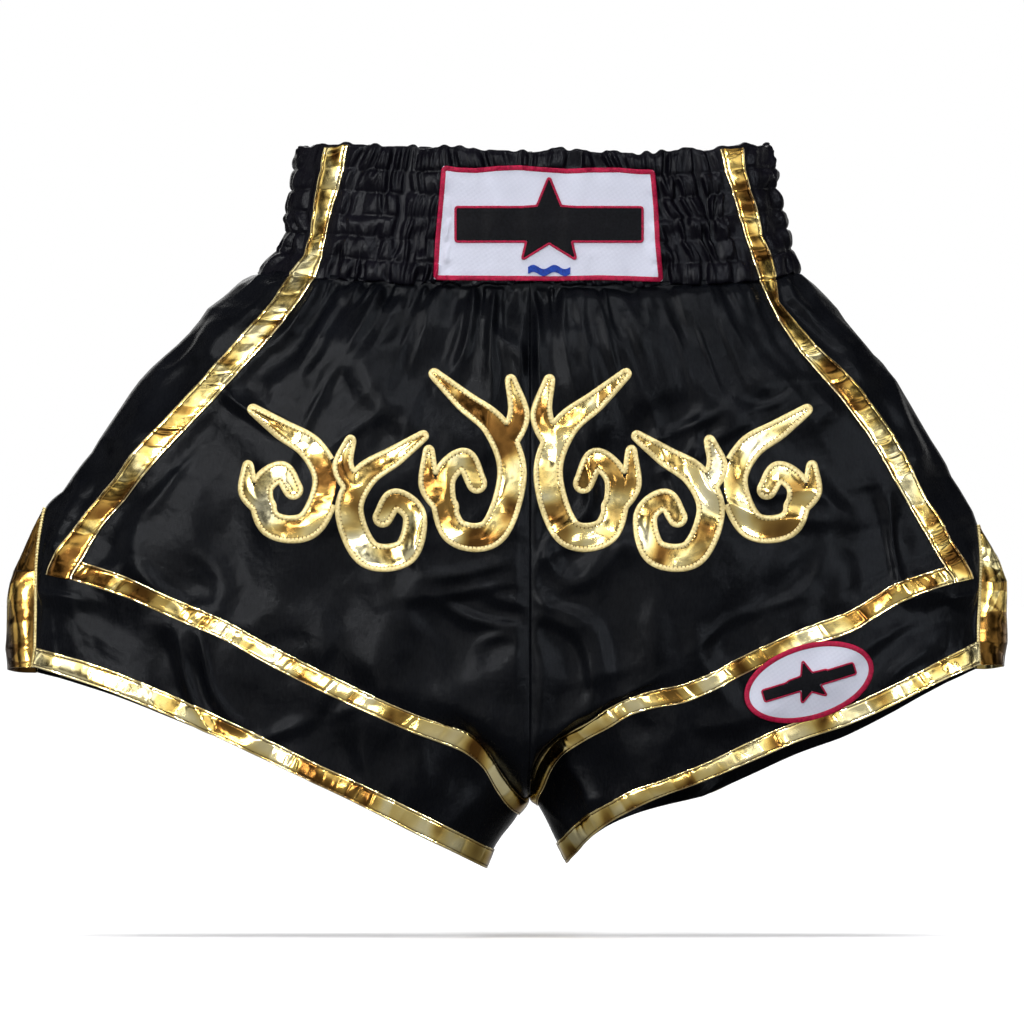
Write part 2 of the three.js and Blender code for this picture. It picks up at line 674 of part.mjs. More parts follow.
// Name, centre x, centre z, size, mirroring, height factor, tongues.
// Later ones pass under earlier ones.
const MOTIFS = [
  ["d", 46, 250, 40, 1, 1.62, ["A", "B"]],
  ["c", -19.4, 250, 40, -1, 1.62, ["A", "B"]],
  ["e", 104, 226, 38, -1, 1.27, ["A"]],
  ["b", -77.4, 226, 38, 1, 1.27, ["A"]],
  ["f", 159, 243, 38, 1, 1.25, ["B"]],
  ["a", -132.4, 243, 38, -1, 1.25, ["B"]],
];
const FLAME_HEIGHT = 0.82; // applied to every height factor
const BORDER = 3.0; // width of the edging
const FOIL_CLEARANCE = 0.3; // between foil and edging
const OVERLAP_CLEARANCE = 0.4; // between overlapping curls

// Outline of a tapering stroke along path, every half width grown by margin.
function strokeOutline(path, halfWidths, margin, steps) {
  const curve = new THREE.CatmullRomCurve3(path.map(([x, z]) => new THREE.Vector3(x, 0, z)));
  const last = halfWidths.length - 1;
  const sides = [[], []];
  for (let k = 0; k <= steps; k++) {
    const point = curve.getPoint(k / steps);
    const along = curve.getTangent(k / steps);
    const f = (k / steps) * last;
    const a = Math.min(last - 1, Math.floor(f));
    const half = lerp(halfWidths[a], halfWidths[a + 1], f - a) + margin;
    sides[0].push([point.x - along.z * half, point.z + along.x * half]);
    sides[1].push([point.x + along.z * half, point.z - along.x * half]);
  }
  const cap = (t, sign) => {
    const point = curve.getPoint(t);
    const along = curve.getTangent(t);
    const reach = sign * (halfWidths[t ? last : 0] + margin) * 0.8;
    return [point.x + along.x * reach, point.z + along.z * reach];
  };
  return [...sides[0], cap(1, 1), ...sides[1].reverse(), cap(0, -1)];
}

function flamePrism([, centreX, centreZ, size, mirror, tall, tongues], margin) {
  const prisms = ["sweep", ...tongues].map((key) => {
    const { path, widths, steps } = STROKES[key];
    const placed = path.map(([x, z]) =>
      [centreX + x * size * mirror, centreZ + z * size * tall * FLAME_HEIGHT]);
    return prism(strokeOutline(placed, widths.map((w) => w * size), margin, steps));
  });
  return prisms.reduce((sum, part) => sum.add(part));
}

const largest = (solid) => solid.decompose().sort((p, q) => q.volume() - p.volume())[0];

function addFlames() {
  const foilLayer = frontSeat(3, CREASE, 0.4, 1.0);
  const edgingLayer = frontSeat(3, CREASE, 0.4, 1.6);
  let taken = null;
  for (const motif of MOTIFS) {
    let foil = flamePrism(motif, 0);
    let edging = flamePrism(motif, BORDER).subtract(flamePrism(motif, FOIL_CLEARANCE));
    if (taken) {
      foil = foil.subtract(taken);
      edging = edging.subtract(taken);
    }
    add("flame_foil_" + motif[0], toGeometry(largest(foil.intersect(foilLayer))), FLAME_FOIL);
    add("flame_edging_" + motif[0], toGeometry(largest(edging.intersect(edgingLayer))), THREAD);
    const covered = flamePrism(motif, BORDER + OVERLAP_CLEARANCE);
    taken = taken ? taken.add(covered) : covered;
  }
}

// ---------------------------------------------------------------- patches
function star(centreX, centreZ, outerRadius, innerRadius) {
  const points = 5;
  return Array.from({ length: points * 2 }, (_, k) => {
    const angle = Math.PI / 2 + (k * Math.PI) / points;
    const radius = k % 2 ? innerRadius : outerRadius;
    return [centreX + radius * Math.cos(angle), centreZ + radius * Math.sin(angle)];
  });
}

const rectangle = (x0, x1, z0, z1) => [[x0, z1], [x1, z1], [x1, z0], [x0, z0]];

// Woven patch on the front of the waistband.
function addWaistPatch() {
  const corners = [
    [-41.2, 434.6], [-20, 432.2], [10, 434.2], [40, 431.8], [66, 432.6],
    [90.2, 431.5], [95.8, 361.9], [55, 363.4], [10, 362.8], [-46.8, 363.3],
  ];
  const wave = [
    [12, 372], [18, 374], [25, 371.5], [32, 374], [38, 372],
    [38, 367], [32, 369], [25, 366.5], [18, 369], [12, 367],
  ];
  const middleX = corners.reduce((sum, [x]) => sum + x, 0) / corners.length;
  const middleZ = 398;
  // the end corners move in fully, those between them mostly up or down
  const inset = (d) => corners.map(([x, z]) => {
    const sideways = Math.abs(x - middleX) > 60 ? 1 : 0.2;
    return [x + Math.sign(middleX - x) * d * sideways, z + Math.sign(middleZ - z) * d];
  });
  const put = (name, shape, low, high, look) =>
    add("waist_patch_" + name, toGeometry(shape.intersect(frontSeat(0, 1, low, high))), look);
  put("ground", prism(inset(2.8)), 1.3, 1.9, WHITE);
  put("edging", prism(corners).subtract(prism(inset(2.4))), 1.3, 2.3, RED);
  const bar = prism(rectangle(-32, 82, 388, 408));
  put("star", bar.add(prism(star(25, 399, 27, 12))), 2.2, 2.7, INK);
  put("wave", prism(wave), 2.2, 2.7, BLUE);
}

// Oval patch on the front of the wearer's left leg, between the two tapes.
function addLegPatch() {
  const centreX = 185.1;
  const centreZ = 115.9;
  const halfLength = 41;
  const halfHeight = 23;
  const segments = 28;
  const tilt = (17 * Math.PI) / 180;
  const turn = ([x, z]) => [
    centreX + x * Math.cos(tilt) - z * Math.sin(tilt),
    centreZ + x * Math.sin(tilt) + z * Math.cos(tilt),
  ];
  const tilted = (outline) => prism(outline.map(turn));
  const oval = (inset) => tilted(Array.from({ length: segments }, (_, k) => {
    const angle = (k / segments) * 2 * Math.PI;
    return [(halfLength - inset) * Math.cos(angle), (halfHeight - inset) * Math.sin(angle)];
  }));
  const area = cut(legs.left, MID_UPPER, HEM_LOWER, 2, TAPE_INNER);
  const put = (name, shape, low, high, look) =>
    add("leg_patch_" + name, toGeometry(shape.intersect(toSolid(sheet(area, low, high)))), look);
  put("ground", oval(3.4), 1.3, 1.8, WHITE);
  put("edging", oval(0).subtract(oval(3.0)), 1.3, 2.3, RED);
  const bar = tilted(rectangle(-29, 29, -3.2, 3.2));
  put("star", tilted(star(0, 0, 13, 5.6)).add(bar), 2.1, 2.6, INK);
}

// ---------------------------------------------------------------- assembly
addWaistband();
addDrawcord();
addSizeLabel();
addUpperPanels();
addUpperTapes();
addLeg("left");
addLeg("right");
addFlames();
addWaistPatch();
addLegPatch();

// Bring the origin to the middle of the width and depth, level with the lowest corner.
const bounds = new THREE.Box3().setFromObject(root);
const centre = bounds.getCenter(new THREE.Vector3());
for (const mesh of root.children) mesh.geometry.translate(-centre.x, -centre.y, -bounds.min.z);

export default root;
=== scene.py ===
import bpy
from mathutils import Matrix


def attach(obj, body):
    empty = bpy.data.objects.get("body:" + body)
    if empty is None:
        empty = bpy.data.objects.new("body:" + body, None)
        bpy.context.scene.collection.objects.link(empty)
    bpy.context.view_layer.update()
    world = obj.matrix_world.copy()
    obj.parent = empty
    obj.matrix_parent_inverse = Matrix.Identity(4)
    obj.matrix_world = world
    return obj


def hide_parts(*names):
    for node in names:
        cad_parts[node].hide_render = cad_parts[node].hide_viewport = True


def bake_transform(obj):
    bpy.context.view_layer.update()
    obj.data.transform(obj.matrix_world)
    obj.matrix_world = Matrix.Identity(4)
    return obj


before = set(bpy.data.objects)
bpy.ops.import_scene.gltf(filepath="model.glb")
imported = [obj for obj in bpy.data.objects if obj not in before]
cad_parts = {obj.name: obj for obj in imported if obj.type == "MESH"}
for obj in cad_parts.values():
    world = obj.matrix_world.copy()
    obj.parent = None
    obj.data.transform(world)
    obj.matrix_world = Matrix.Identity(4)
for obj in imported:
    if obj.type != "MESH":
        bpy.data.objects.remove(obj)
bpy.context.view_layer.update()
import bpy
import math
import numpy as np
from mathutils import Vector
from mathutils.bvhtree import BVHTree

# ------------------------------------------------------------------ outline of the garment, mm
# Each row: name, wearer's right half, wearer's left half. A half is the run from the centre
# seam (or inseam) to the side tape, the tape's outer edge, the side fold, as (x, z).
ROWS = [
    ('top',
     ([(13.3, 442.1), (-5.3, 442.7), (-27, 444.5), (-67.3, 445.5), (-98.3, 447.6)], (-113.2, 447.6), (-129.9, 445.8)),
     ([(13.3, 442.1), (35, 442.7), (69.1, 441.4), (106.3, 442.1), (129.9, 445.8)], (144.2, 447.3), (162.8, 446.7))),
    ('band_bottom',
     ([(13.3, 360.2), (-33.2, 360.8), (-79.7, 362.1), (-118.7, 365.2)], (-134.8, 366.4), (-152.8, 368.3)),
     ([(13.3, 360.2), (59.8, 359.6), (106.3, 360.8), (154.1, 363.3)], (167.1, 365.2), (180.7, 369.5))),
    ('hip_upper',
     ([(13.3, 319.9), (-39.4, 319.9), (-98.3, 321.8), (-150.3, 323.6)], (-168.9, 324.9), (-205.5, 325.5)),
     ([(13.3, 319.9), (66, 319.9), (118.7, 320.5), (176.4, 322.4)], (189.4, 324.3), (221.7, 324.9))),
    ('hip_mid',
     ([(13.3, 271.6), (-51.8, 271.6), (-123.1, 275.3), (-188.8, 282.1)], (-208, 283.3), (-243.3, 282.1)),
     ([(13.3, 271.6), (75.3, 271.6), (143.5, 274.7), (209.2, 281.5)], (228.5, 283.3), (253.9, 280.2))),
    ('hip_lower',
     ([(13.3, 191), (-54.9, 198.4), (-135.5, 223.2), (-215.4, 252.3)], (-234.1, 254.8), (-265.7, 249.2)),
     ([(13.3, 191), (81.5, 198.4), (155.9, 223.2), (226, 253.6)], (245.8, 255.4), (268.8, 251.7))),
    ('crease',
     ([(13.3, 82.5), (-253.6, 207.9)], (-266.3, 213.9), (-287.4, 223.8)),
     ([(13.3, 82.5), (261.6, 199.4)], (272.8, 204.7), (291.1, 213.3))),
    ('mid_upper',
     ([(13.3, 44), (11.5, 43.4), (5.3, 47.7), (-4, 60.1), (-12.7, 73.2), (-20.1, 81.8), (-27.6, 86.8), (-42.5, 91.8), (-57.4, 96.7), (-87.1, 109.7), (-116.9, 124), (-146.6, 138.9), (-176.4, 155), (-206.2, 167.4), (-235.9, 181), (-250.8, 186), (-263.8, 190)], (-281.2, 193.4), (-291.7, 196.5)),
     ([(13.3, 44), (13.9, 49.6), (15.8, 59.5), (20.1, 68.8), (30.1, 80.6), (46.8, 89.9), (61.7, 99.8), (76.6, 107.3), (91.5, 111.6), (106.3, 114.7), (121.2, 120.3), (151, 135.2), (180.7, 148.8), (210.5, 160), (225.4, 168.6), (240.2, 177.3), (255.1, 182.3), (269.4, 186.6)], (283, 189.1), (292.3, 191))),
    ('mid_lower',
     ([(6.5, 32.9), (-0.3, 38.4), (-8.4, 49), (-17.1, 63.9), (-27.6, 72.5), (-42.5, 78.7), (-57.4, 84.3), (-87.1, 97.3), (-116.9, 111), (-146.6, 125.9), (-176.4, 142.6), (-206.2, 155), (-235.9, 168), (-250.8, 173), (-269.4, 178.6)], (-285.5, 181.7), (-292.3, 184.8)),
     ([(17.7, 38.4), (20.1, 47.1), (24.5, 58.9), (33.2, 70.1), (46.8, 79.4), (61.7, 87.4), (76.6, 96.1), (91.5, 100.4), (106.3, 102.9), (121.2, 108.5), (151, 123.4), (180.7, 136.4), (210.5, 146.3), (225.4, 155), (240.2, 163.7), (255.1, 170.5), (275, 176.7)], (286.8, 179.2), (291.7, 177.9))),
    ('hem_upper',
     ([(-9, 11.8), (-27.6, 21.7), (-57.4, 36.9), (-87.1, 51.5), (-116.9, 65.1), (-146.6, 80), (-176.4, 94.2), (-206.2, 107.3), (-235.9, 119.7), (-250.8, 125.2), (-264.4, 129.6)], (-279.3, 133.6), (-292.9, 137)),
     ([(30.1, 15.5), (35, 21.7), (46.8, 32.9), (61.7, 41.5), (76.6, 49.6), (91.5, 54.6), (121.2, 66.3), (151, 80.6), (180.7, 93), (210.5, 102.3), (240.2, 115.9), (255.1, 123.4), (271.9, 132.1)], (281.2, 136.4), (290.5, 140.7))),
    ('hem_lower',
     ([(-13.9, 0), (-27.6, 7.4), (-57.4, 22.3), (-87.1, 37.8), (-116.9, 52.1), (-146.6, 66.3), (-176.4, 80.6), (-206.2, 93.6), (-235.9, 106), (-250.8, 111.6), (-265.7, 116.6)], (-280.6, 121.5), (-294.2, 125.2)),
     ([(36.3, 3.1), (41.9, 10.5), (46.8, 16.1), (61.7, 28.5), (76.6, 37.2), (91.5, 44), (121.2, 55.2), (151, 67.6), (180.7, 80), (210.5, 89.9), (240.2, 102.9), (255.1, 110.4), (271.9, 118.4)], (281.2, 122.1), (291.1, 126.5))),
]
SIL_R = [(443.9, -129.9), (436.5, -131.8), (421.6, -133.6), (414.2, -134.2), (406.7, -136.7), (399.3, -136.7), (391.8, -137.9), (384.4, -139.8), (377, -147.2), (369.5, -153.4), (362.1, -168.3), (354.6, -177), (347.2, -186.9), (339.8, -191.9), (332.3, -198.1), (324.9, -205.5), (317.4, -214.2), (310, -222.3), (302.6, -229.1), (295.1, -234.7), (287.7, -239.6), (280.2, -244.6), (272.8, -249.6), (265.4, -254.5), (257.9, -258.9), (250.5, -265.1), (243, -270.6), (235.6, -275.6), (228.2, -281.2), (220.7, -287.4)]
SIL_L = [(443.9, 162.1), (436.5, 164.6), (421.6, 165.8), (414.2, 168.9), (406.7, 168.9), (399.3, 170.2), (391.8, 172.1), (384.4, 172.7), (377, 176.4), (369.5, 180.7), (362.1, 190), (354.6, 197.5), (347.2, 204.3), (339.8, 209.2), (332.3, 215.4), (324.9, 221.7), (317.4, 227.8), (310, 234.7), (302.6, 240.9), (295.1, 245.2), (287.7, 249.6), (280.2, 253.9), (272.8, 258.2), (265.4, 262.6), (257.9, 267.5), (250.5, 271.9), (243, 275), (235.6, 279.9), (228.2, 284.3), (220.7, 287.4)]
TAPE_R_OUT = [(447.6, -112.5), (432.8, -115), (419.1, -118.1), (405.5, -120), (391.8, -121.8), (378.2, -126.2), (364.6, -136.7), (350.9, -145.4), (337.3, -157.8), (323.6, -170.2), (310, -182.6), (296.4, -195), (282.7, -208), (269.1, -221), (255.4, -233.4), (241.8, -243.3), (228.2, -255.1), (214.5, -267.5), (200.9, -278.1), (187.2, -284.9)]
TAPE_R_IN = [(447.6, -98.9), (432.8, -100.8), (419.1, -104.5), (405.5, -108.8), (391.8, -111.9), (378.2, -114.4), (364.6, -119.3), (350.9, -128), (337.3, -138.6), (323.6, -150.3), (310, -164), (296.4, -175.2), (282.7, -188.8), (269.1, -201.8), (255.4, -214.2), (241.8, -226), (228.2, -236.5), (214.5, -248.9), (200.9, -260.1), (187.2, -265.7)]
TAPE_L_IN = [(446.4, 128.7), (432.8, 132.4), (419.1, 137.3), (405.5, 141.1), (391.8, 144.8), (378.2, 149.7), (364.6, 154.1), (350.9, 160.3), (337.3, 167.1), (323.6, 176.4), (310, 187.6), (296.4, 199.3), (282.7, 210.5), (269.1, 221), (255.4, 229.7), (241.8, 236.5), (228.2, 245.2), (214.5, 253.3), (200.9, 261.9), (187.2, 269.4)]
TAPE_L_OUT = [(446.4, 141.1), (432.8, 145.4), (419.1, 149.1), (405.5, 153.4), (391.8, 155.9), (378.2, 162.1), (364.6, 165.2), (350.9, 167.1), (337.3, 178.9), (323.6, 190.7), (310, 204.3), (296.4, 217.3), (282.7, 227.8), (269.1, 237.8), (255.4, 245.2), (241.8, 251.4), (228.2, 258.9), (214.5, 268.8), (200.9, 276.8), (187.2, 283.6)]
# ------------------------------------------------------------------ pattern in millimetres
# Same pattern as the CAD part: x to the wearer's left, y to the back, z up, before the CAD's final centring.
SHIFT = np.array([0.25, 4.35017, -0.218119])
K = 0.001
CX = 13.3
ALONG = [0, 0.045, 0.1, 0.155, 0.22, 0.32, 0.45, 0.6, 0.8, 1]
A_C, B_C, F_C = 9.0, 10.0, 13.0
R_TOP, R_BAND, R_CREASE, R_MU, R_ML, R_HU, R_HL = 0, 1, 5, 6, 7, 8, 9
DEPTH = [50, 54, 66, 70, 70, 69, 67, 66, 63, 62]
FLAT = [44, 44, 62, 62, 62, 62, 62, 62, 62, 62]
VENT = [0, 0, 0, 0, 0, 0, 9, 12, 20, 24]
PUFF = {-1: [0, 0, 0, 0, 0, 0, 14, 18, 18.6, 17.4], 1: [0, 0, 0, 0, 0, 0, 14, 19, 19, 16.7]}
DROP = {-1: [0, 1.5, 3, 4], 1: [0, 12, 9, 3]}


def to_world(p):
    return (np.asarray(p, float) + SHIFT) * K


def slopes(x, y):
    """Monotone cubic slopes, y may have trailing axes."""
    h = np.diff(x)
    d = np.diff(y, axis=0) / h.reshape(-1, *([1] * (y.ndim - 1)))
    m = np.zeros_like(y)
    a, b = d[:-1], d[1:]
    hh = h.reshape(-1, *([1] * (y.ndim - 1)))
    w1, w2 = 2 * hh[1:] + hh[:-1], hh[1:] + 2 * hh[:-1]
    with np.errstate(divide="ignore", invalid="ignore"):
        harm = (w1 + w2) / (w1 / a + w2 / b)
    m[1:-1] = np.where(a * b > 0, harm, 0)
    m[0], m[-1] = d[0], d[-1]
    return m


def pchip(x, y, t):
    x, y = np.asarray(x, float), np.asarray(y, float)
    m = slopes(x, y)
    t = np.clip(t, x[0], x[-1])
    k = np.clip(np.searchsorted(x, t, side="right") - 1, 0, len(x) - 2)
    h = (x[k + 1] - x[k])
    s = (t - x[k]) / h
    e = (slice(None),) + (None,) * (y.ndim - 1)
    s, h = s[e], h[e]
    return (y[k] * (1 + 2 * s) * (1 - s) ** 2 + m[k] * h * s * (1 - s) ** 2
            + y[k + 1] * s * s * (3 - 2 * s) + m[k + 1] * h * s * s * (s - 1))


def station_xz(row, side, c):
    run, outer, fold = ROWS[row][1 if side < 0 else 2]
    run = np.array(run, float)
    d = np.r_[0, np.cumsum(np.hypot(*np.diff(run, axis=0).T))]
    out = np.zeros((len(c), 2))
    on = c <= A_C
    f = np.interp(c[on], np.arange(10), ALONG) * d[-1]
    out[on] = pchip(d, run, f)
    m = (c > A_C) & (c <= B_C)
    out[m] = run[-1] + (c[m] - A_C)[:, None] * (np.array(outer) - run[-1])
    m = c > B_C
    f = np.interp(c[m], [10, 11, 12, 13], [0, 0.5, 0.85, 1])[:, None]
    out[m] = np.array(outer) + f * (np.array(fold) - np.array(outer))
    return out


MEAN_T = None


def base_xz(side, c, r):
    """Outline position (x, z) on a (rows, columns) grid."""
    rows = np.array([station_xz(k, side, c) for k in range(10)])  # 10, nc, 2
    step = np.hypot(*np.moveaxis(np.diff(rows[:, ::6], axis=0), -1, 0)).mean(1)
    t = np.r_[0, np.cumsum(step)]
    xz = pchip(t, rows, np.interp(r, np.arange(10), t))
    tin, tout, sil = (TAPE_R_IN, TAPE_R_OUT, SIL_R) if side < 0 else (TAPE_L_IN, TAPE_L_OUT, SIL_L)
    look = lambda table, z: np.interp(z, [q[0] for q in table[::-1]], [q[1] for q in table[::-1]])
    ia, ib, iF = np.searchsorted(c, A_C), np.searchsorted(c, B_C), len(c) - 1
    for j in range(len(r)):
        if not 0 < r[j] < R_CREASE:
            continue
        k = min(1, r[j] / 0.2, (R_CREASE - r[j]) / 0.3)
        xa, xb, xf = xz[j, ia, 0], xz[j, ib, 0], xz[j, iF, 0]
        na = xa + k * (look(tin, xz[j, ia, 1]) - xa)
        nb = xb + k * (look(tout, xz[j, ib, 1]) - xb)
        nf = xf + k * (look(sil, xz[j, iF, 1]) - xf)
        x = xz[j, :, 0].copy()
        xz[j, :, 0] = np.interp(np.arange(len(c)), [0, ia, ib, iF], [0, na - xa, nb - xb, nf - xf]) + x
        xc = x[0]
        xz[j, :ia + 1, 0] = xc + (x[:ia + 1] - xc) * (na - xc) / (xa - xc)
    return xz


def base_grid(side, face, c, r):
    """Undisturbed surface points, (rows, columns, 3)."""
    xz = base_xz(side, c, r)
    kn = np.arange(10)
    D, flat, half = (pchip(kn, np.array(v, float), r)[:, None] for v in (DEPTH, FLAT, VENT))
    u = np.abs(xz[:, :, 0] - xz[:, :1, 0]) / np.abs(xz[:, -1:, 0] - xz[:, :1, 0])
    u = np.clip(u, 0, 1)
    girth = np.sqrt(np.clip(1 - u ** 2.4, 0, 1))
    close = np.clip(r - R_CREASE, 0, 1)[:, None]
    w = close * np.clip(1 - u / 0.34, 0, 1)
    inner = np.clip(1 - w ** 2.2, 0, 1) ** (1 / 2.2)
    y = half * inner + (D - half) * girth * inner
    z = xz[:, :, 1].copy()
    if face > 0:
        lim = np.maximum(half, flat)
        k = 2.5
        y = np.where(y > lim - 12, -k * np.logaddexp(-y / k, -lim / k) , y)
        drop = np.interp(u * 3, [0, 1, 2, 3], DROP[side])
        z -= drop * np.clip((r - R_ML) / (R_HL - R_ML), 0, 1)[:, None]
    return np.dstack([xz[:, :, 0], face * y, z])


def grid_normals(P, side, face, seams=True, r=None):
    gr = np.gradient(P, axis=0)
    gc = np.gradient(P, axis=1)
    n = np.cross(gr, gc) * (-side * face)
    n /= np.maximum(np.linalg.norm(n, axis=2, keepdims=True), 1e-9)
    if seams and r is not None:
        seat_rows = r < R_MU - 0.02
        n[seat_rows, 0, 0] = 0
        n[~seat_rows, 0, 1] = 0
        up = r <= R_CREASE + 0.05
        n[up, -1, 1] = 0
        n /= np.maximum(np.linalg.norm(n, axis=2, keepdims=True), 1e-9)
    return n


# ------------------------------------------------------------------ noise, fixed seed
_rng = np.random.RandomState(11)
_TAB = _rng.rand(256, 256) * 2 - 1


def noise2(x, y, seed=0):
    x, y = np.broadcast_arrays(np.asarray(x, float), np.asarray(y, float))
    x = x + seed * 17.31
    y = y + seed * 9.77
    xi, yi = np.floor(x).astype(int), np.floor(y).astype(int)
    fx, fy = x - xi, y - yi
    fx, fy = fx ** 3 * (fx * (6 * fx - 15) + 10), fy ** 3 * (fy * (6 * fy - 15) + 10)
    g = lambda a, b: _TAB[a & 255, b & 255]
    return ((g(xi, yi) * (1 - fx) + g(xi + 1, yi) * fx) * (1 - fy)
            + (g(xi, yi + 1) * (1 - fx) + g(xi + 1, yi + 1) * fx) * fy)


def ridge(n, k=0.02):
    """Soft-topped ridge from a signed noise."""
    return 1 - 2 * (np.sqrt(n * n + k) - math.sqrt(k))


def fbm(x, y, seed=0, octaves=3):
    s, a, t = 0, 1, 0
    for k in range(octaves):
        s = s + a * noise2(x * 2 ** k, y * 2 ** k, seed + k * 3)
        t += a
        a *= 0.5
    return s / t


smooth = lambda t: np.clip(t, 0, 1) ** 2 * (3 - 2 * np.clip(t, 0, 1))


# ------------------------------------------------------------------ mesh helpers
def mesh_object(name, verts, faces, mats, smooth_shade=True, attrs=None, uv=None):
    me = bpy.data.meshes.new(name)
    me.from_pydata(np.asarray(verts, float).tolist() if len(verts) else [], [], faces)
    me.validate(clean_customdata=False)
    for m in mats:
        me.materials.append(m)
    if smooth_shade:
        me.polygons.foreach_set("use_smooth", [True] * len(me.polygons))
    for key, val in (attrs or {}).items():
        at = me.attributes.new(key, "FLOAT", "POINT")
        at.data.foreach_set("value", np.asarray(val, np.float32))
    me.update()
    o = bpy.data.objects.new(name, me)
    bpy.context.scene.collection.objects.link(o)
    return o


def grid_faces(nr, nc, off=0, flip=False, wrap=False):
    j, i = np.meshgrid(np.arange(nr - 1), np.arange(nc if wrap else nc - 1), indexing="ij")
    i2 = (i + 1) % nc
    q = np.stack([j * nc + i, j * nc + i2, (j + 1) * nc + i2, (j + 1) * nc + i], -1).reshape(-1, 4) + off
    return q[:, ::-1] if flip else q


def shell(P, N, lo, hi, wrap=False, attr=None):
    """Closed sheet between offsets lo and hi along the normals. Returns verts in mm and faces."""
    nr, nc = P.shape[:2]
    top = (P + N * np.asarray(hi)[..., None]).reshape(-1, 3) if np.ndim(hi) else (P + N * hi).reshape(-1, 3)
    bot = (P + N * np.asarray(lo)[..., None]).reshape(-1, 3) if np.ndim(lo) else (P + N * lo).reshape(-1, 3)
    n = nr * nc
    f = [grid_faces(nr, nc, 0, False, wrap), grid_faces(nr, nc, n, True, wrap)]
    i = np.arange(nc if wrap else nc - 1)
    i2 = (i + 1) % nc
    f.append(np.stack([i2, i, i + n, i2 + n], -1))
    b = (nr - 1) * nc
    f.append(np.stack([b + i, b + i2, b + i2 + n, b + i + n], -1))
    if not wrap:
        j = np.arange(nr - 1)
        f.append(np.stack([j * nc, (j + 1) * nc, (j + 1) * nc + n, j * nc + n], -1))
        e = nc - 1
        f.append(np.stack([(j + 1) * nc + e, j * nc + e, j * nc + e + n, (j + 1) * nc + e + n], -1))
    V = np.vstack([top, bot])
    F = np.vstack(f)
    c = V[F]
    vol = np.einsum("ij,ij->i", c[:, 0], np.cross(c[:, 1], c[:, 2])) + np.einsum("ij,ij->i", c[:, 0], np.cross(c[:, 2], c[:, 3]))
    if vol.sum() < 0:
        F = F[:, ::-1]
    return V, F


def put(name, V, F, mats, body=None, side=None, nodes=(), slot=None, attrs=None):
    """Adds a piece in pattern mm; with a side its transform is baked into the mesh, otherwise it is attached to its
    body.
    """
    o = mesh_object(name, to_world(V), F.tolist() if isinstance(F, np.ndarray) else F, mats, attrs=attrs)
    if side is not None:
        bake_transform(o)
        co = np.zeros(len(o.data.vertices) * 3)
        o.data.vertices.foreach_get("co", co)
    else:
        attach(o, body)
    if nodes:
        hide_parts(*nodes)
    return o


class Surface:
    """A displaced grid that can be read at any (column, row)."""

    def __init__(self, P, N, c, r):
        self.P, self.N, self.c, self.r = P, N, c, r

    def at(self, c, r):
        c, r = np.broadcast_arrays(np.asarray(c, float), np.asarray(r, float))
        c = np.clip(c, self.c[0], self.c[-1])
        r = np.clip(r, self.r[0], self.r[-1])
        i = np.clip(np.searchsorted(self.c, c, side="right") - 1, 0, len(self.c) - 2)
        j = np.clip(np.searchsorted(self.r, r, side="right") - 1, 0, len(self.r) - 2)
        fc = ((c - self.c[i]) / (self.c[i + 1] - self.c[i]))[..., None]
        fr = ((r - self.r[j]) / (self.r[j + 1] - self.r[j]))[..., None]
        def mix(G):
            return ((G[j, i] * (1 - fc) + G[j, i + 1] * fc) * (1 - fr)
                    + (G[j + 1, i] * (1 - fc) + G[j + 1, i + 1] * fc) * fr)
        n = mix(self.N)
        n /= np.maximum(np.linalg.norm(n, axis=-1, keepdims=True), 1e-9)
        return mix(self.P), n


# ------------------------------------------------------------------ materials
def material(name):
    m = bpy.data.materials.new(name)
    m.use_nodes = True
    nt = m.node_tree
    nt.nodes.clear()
    out = nt.nodes.new("ShaderNodeOutputMaterial")
    b = nt.nodes.new("ShaderNodeBsdfPrincipled")
    nt.links.new(b.outputs[0], out.inputs[0])
    return m, nt, b


def node(nt, kind, **kw):
    n = nt.nodes.new(kind)
    for k, v in kw.items():
        if k.startswith("in_"):
            n.inputs[k[3:].replace("_", " ")].default_value = v
        else:
            setattr(n, k, v)
    return n


def ramp(nt, fac, stops):
    r = nt.nodes.new("ShaderNodeValToRGB")
    e = r.color_ramp.elements
    while len(e) < len(stops):
        e.new(0.5)
    for el, (p, c) in zip(e, stops):
        el.position = p
        el.color = (*c, 1) if len(c) == 3 else c
    nt.links.new(fac, r.inputs[0])
    return r.outputs[0]


def value_ramp(nt, fac, a, b, lo=0.0, hi=1.0):
    r = nt.nodes.new("ShaderNodeMapRange")
    r.inputs[1].default_value, r.inputs[2].default_value = lo, hi
    r.inputs[3].default_value, r.inputs[4].default_value = a, b
    nt.links.new(fac, r.inputs[0])
    return r.outputs[0]


def coords(nt, scale=(1, 1, 1), rot=(0, 0, 0)):
    t = nt.nodes.new("ShaderNodeTexCoord")
    m = nt.nodes.new("ShaderNodeMapping")
    m.inputs["Scale"].default_value = scale
    m.inputs["Rotation"].default_value = rot
    nt.links.new(t.outputs["Object"], m.inputs[0])
    return m.outputs[0]


def noise_tex(nt, co, scale, detail=3, rough=0.5, dist=0.0):
    n = nt.nodes.new("ShaderNodeTexNoise")
    n.inputs["Scale"].default_value = scale
    n.inputs["Detail"].default_value = detail
    n.inputs["Roughness"].default_value = rough
    n.inputs["Distortion"].default_value = dist
    nt.links.new(co, n.inputs["Vector"])
    return n.outputs["Fac"]


